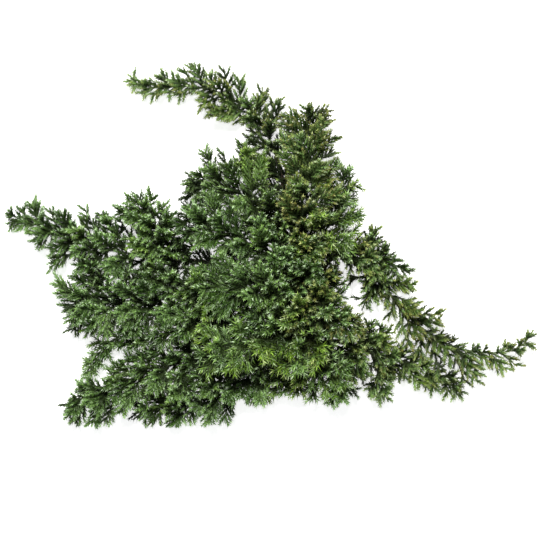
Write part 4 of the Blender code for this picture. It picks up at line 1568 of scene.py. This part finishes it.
# %% The map of a tube
def lay_map(mesh, count, length):
    """A map of a tube's side: once round it is 1, and 10 mm along it is 1."""
    chart = mesh.uv_layers.new(name="bark")
    for i in range(count * BARK_SIDES):
        k, j = divmod(i, BARK_SIDES)
        loops = mesh.polygons[i].loop_indices
        for loop, (u, v) in zip(loops, ((j, k), (j + 1, k), (j + 1, k + 1), (j, k + 1))):
            chart.data[loop].uv = (u / BARK_SIDES, v * length / count / 10)

# %% The stretches of wood
STUB_DEPTH = 5.5  # from a spray's foot back to the limb's middle
STUB_GAP = 0.2  # that the spray's own stem bridges


def stub_line(piece):
    """The stub under a spray, from inside the limb to just short of the spray's foot."""
    stem = piece.stem.line
    back = -stem.ahead(0)
    return Line([stem.at(0) + back * STUB_DEPTH, stem.at(0) + back * STUB_GAP])


tubes = [bark_tube("wood_main", lines["main_stem"], MAIN_STEM["radii"])]
for name, limb in LIMBS.items():
    bare = lines[name].part(0, limb["bare"] * lines[name].length)
    tubes.append(bark_tube(f"wood_{name}", bare, limb["radii"]))
for piece, _ in leafy:
    if "_spray_" in piece.name:
        tubes.append(bark_tube(f"wood_{piece.name}", stub_line(piece), (STUB_RADIUS * 1.1, STUB_RADIUS)))
print("stretches of wood:", len(tubes))

# %% [markdown]
# One union of the first tube with a collection of all the others fuses the wood in a moment, and the
# Manifold solver keeps the maps of both sides.

# %% Fuse the wood
group = bpy.data.collections.new("to_fuse")
for tube in tubes[1:]:
    bpy.context.scene.collection.objects.unlink(tube)
    group.objects.link(tube)
bpy.context.scene.collection.children.link(group)
fuse = tubes[0].modifiers.new("Fuse", "BOOLEAN")
fuse.operation, fuse.solver, fuse.operand_type = "UNION", "MANIFOLD", "COLLECTION"
fuse.collection = group
graph = bpy.context.evaluated_depsgraph_get()
bark = placed("bark_and_butt", bpy.data.meshes.new_from_object(tubes[0].evaluated_get(graph)))
for tube in tubes:
    bpy.data.objects.remove(tube)
bpy.data.collections.remove(group)

# %% [markdown]
# The wood is pressed flat where it touches the table, on the same spots as the solid. Pressing the
# corners is enough for such shallow flats.

# %% Press the wood to the table
for corner in bark.data.vertices:
    corner.co.z = max(corner.co.z, 0.0)
for face in bark.data.polygons:
    face.use_smooth = True
print("triangles of the wood:", triangles(bark))
print("maps kept:", [layer.name for layer in bark.data.uv_layers])

# %% [markdown]
# Juniper bark is dull brown, and peels in thin strips along the limb with pale flakes between them.
# It shows only in gaps of the foliage, so the strips are noise and not cut into the mesh. The map's
# way round is bent into a circle first, so that they meet without a seam, and its length is squeezed,
# so that they come out long.

# %% The bark's finish
DARK_BARK = (0.045, 0.026, 0.017)
PALE_BARK = (0.165, 0.105, 0.070)
FLAKES = (0.28, 0.22, 0.17)

bark_finish, make, surface = finish("juniper_bark", 0.85)
bark_map = make("ShaderNodeUVMap", {"uv_map": "bark"})
around, length, _ = make("ShaderNodeSeparateXYZ", out=("X", "Y", "Z"), Vector=bark_map)
angle = around * (2 * math.pi)
on_circle = make("ShaderNodeCombineXYZ", X=angle.math("COSINE") * 2.2, Y=angle.math("SINE") * 2.2,
                 Z=length * 0.8)
strips = noise(make, on_circle, 2.0, 5.0)
flakes = noise(make, on_circle, 7.0, 3.0)
colour = mixed(make, make.eased(strips, 0.35, 0.65), DARK_BARK, PALE_BARK)
colour = mixed(make, make.eased(flakes, 0.55, 0.75) * 0.6, colour, FLAKES)
plug(make.tree, surface.inputs["Base Color"], colour)
bump = make("ShaderNodeBump", Strength=0.8, Distance=0.0006, Height=strips + flakes * 0.4)
plug(make.tree, surface.inputs["Normal"], bump)
print("nodes in the bark's finish:", len(make.tree.nodes))

# %% [markdown]
# The butt was cut straight across, so it shows yearly rings inside a dark rim of bark. The distance
# from the stem's middle tells the ring, a sine turns it into light and dark wood, and a little noise
# keeps the rings from being true circles. A Mapping node brings the middle of the cut to zero.

# %% The cut butt's finish
LATE_WOOD = (0.42, 0.27, 0.14)
EARLY_WOOD = (0.62, 0.45, 0.27)
RIM = (0.10, 0.06, 0.035)
RING_TURNS = 9000  # radians of the sine to a metre, which makes a ring every 0.7 mm

cut_finish, make, surface = finish("cut_wood", 0.7)
butt = (lines["main_stem"].at(0) - MIDDLE) * MM
where = place_on(make)
centred = make("ShaderNodeMapping", Vector=where, Location=-butt)
from_middle = make("ShaderNodeVectorMath", {"operation": "LENGTH"}, out="Value", Vector=centred)
rings = (from_middle * RING_TURNS + noise(make, where, 500.0) * 2).math("SINE") * 0.5 + 0.5
colour = mixed(make, rings, LATE_WOOD, EARLY_WOOD)
colour = mixed(make, make.eased(from_middle, 4.0 * MM, 4.6 * MM), colour, RIM)
plug(make.tree, surface.inputs["Base Color"], colour)
print("nodes in the cut's finish:", len(make.tree.nodes))

# %% Put the finishes on
bark.data.materials.clear()
bark.data.materials.append(bark_finish)
bark.data.materials.append(cut_finish)
butt_way = -lines["main_stem"].ahead(0)
cut_faces = [face for face in bark.data.polygons
             if face.normal.dot(butt_way) > 0.97 and (face.center - butt).length < 6 * MM]
for face in cut_faces:
    face.material_index = 1
    face.use_smooth = False
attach(bark, "root")
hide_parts("woody_stem")
print("faces of the cut:", len(cut_faces))

# %% [markdown]
# ## The table, the light and the camera
#
# The picture shows the sprig on pure white with hardly any shade. A plain pale table would come out
# grey, so this one glows a little, and a soft shade still shows on it.

# %% The table
TABLE_EDGE = 3.0  # metres from the middle
TABLE_PALE = (0.86, 0.86, 0.87)
TABLE_DULL = (0.84, 0.84, 0.85)
TABLE_GLOW = 0.8

table_corners = [(-TABLE_EDGE, -TABLE_EDGE, 0), (TABLE_EDGE, -TABLE_EDGE, 0),
                 (TABLE_EDGE, TABLE_EDGE, 0), (-TABLE_EDGE, TABLE_EDGE, 0)]
table_mesh = bpy.data.meshes.new("table_top")
table_mesh.from_pydata(table_corners, [], [(0, 1, 2, 3)])
table = placed("table_top", table_mesh)
table_finish, make, surface = finish("white_table", 0.9)
colour = mixed(make, noise(make, place_on(make), 400.0) * 0.3, TABLE_PALE, TABLE_DULL)
plug(make.tree, surface.inputs["Base Color"], colour)
surface.inputs["Emission Color"].default_value = (1, 1, 1, 1)
surface.inputs["Emission Strength"].default_value = TABLE_GLOW
table_mesh.materials.append(table_finish)

# %% [markdown]
# A large soft lamp high beyond the picture's top edge gives the light its direction, so that the
# needles shade each other, and a weak white sky fills the rest.

# %% The light
def lamp(name, place, size, power, colour):
    """A square soft lamp that looks at the sprig's middle."""
    light = bpy.data.lights.new(name, "AREA")
    light.size, light.energy, light.color = size, power, colour
    made = bpy.data.objects.new(name, light)
    made.location = place
    made.rotation_euler = (-Vector(place)).to_track_quat("-Z", "Y").to_euler()
    bpy.context.scene.collection.objects.link(made)


lamp("soft_lamp", place=(-0.2, 1.0, 1.6), size=0.45, power=54.0, colour=(1.0, 0.99, 0.97))
sky = bpy.data.worlds.new("white_room")
sky.use_nodes = True
air = sky.node_tree.nodes["Background"]
air.inputs["Color"].default_value = (0.95, 0.97, 1.0, 1)
air.inputs["Strength"].default_value = 0.23
bpy.context.scene.world = sky
bpy.context.scene.view_settings.view_transform = "Standard"

# %% [markdown]
# The picture looks straight down. Its scale fixes how far away the camera is: one pixel is 0.9 mm at
# the sprig, and the lens is long, so that the sprig's edges aren't seen from the side.

# %% The camera
PIXEL = 0.9 * MM  # of the picture, at the sprig
PICTURE = 540
AIM = Vector((0.45, -23.4, 12))  # in the millimetres of the routes
LENS = 100.0
SENSOR = 36.0

camera = bpy.data.cameras.new("from_above")
camera.lens, camera.sensor_width = LENS, SENSOR
camera.clip_end = 20
eye = bpy.data.objects.new("from_above", camera)
eye.location = (AIM - MIDDLE) * MM + UP * PIXEL * PICTURE * LENS / SENSOR
bpy.context.scene.collection.objects.link(eye)
bpy.context.scene.camera = eye
print("height of the camera in metres:", round(eye.location.z, 3))

# %% [markdown]
# ## Close up
#
# The dressed sprig is kept near the box of its solids, and this cell prints that box in millimetres.
# The dressed sprig has to fit the box of its solids.

# %% Print the solids' box
print("solids in mm:", [[round(x / MM, 1) for x in c] for c in solid_box])
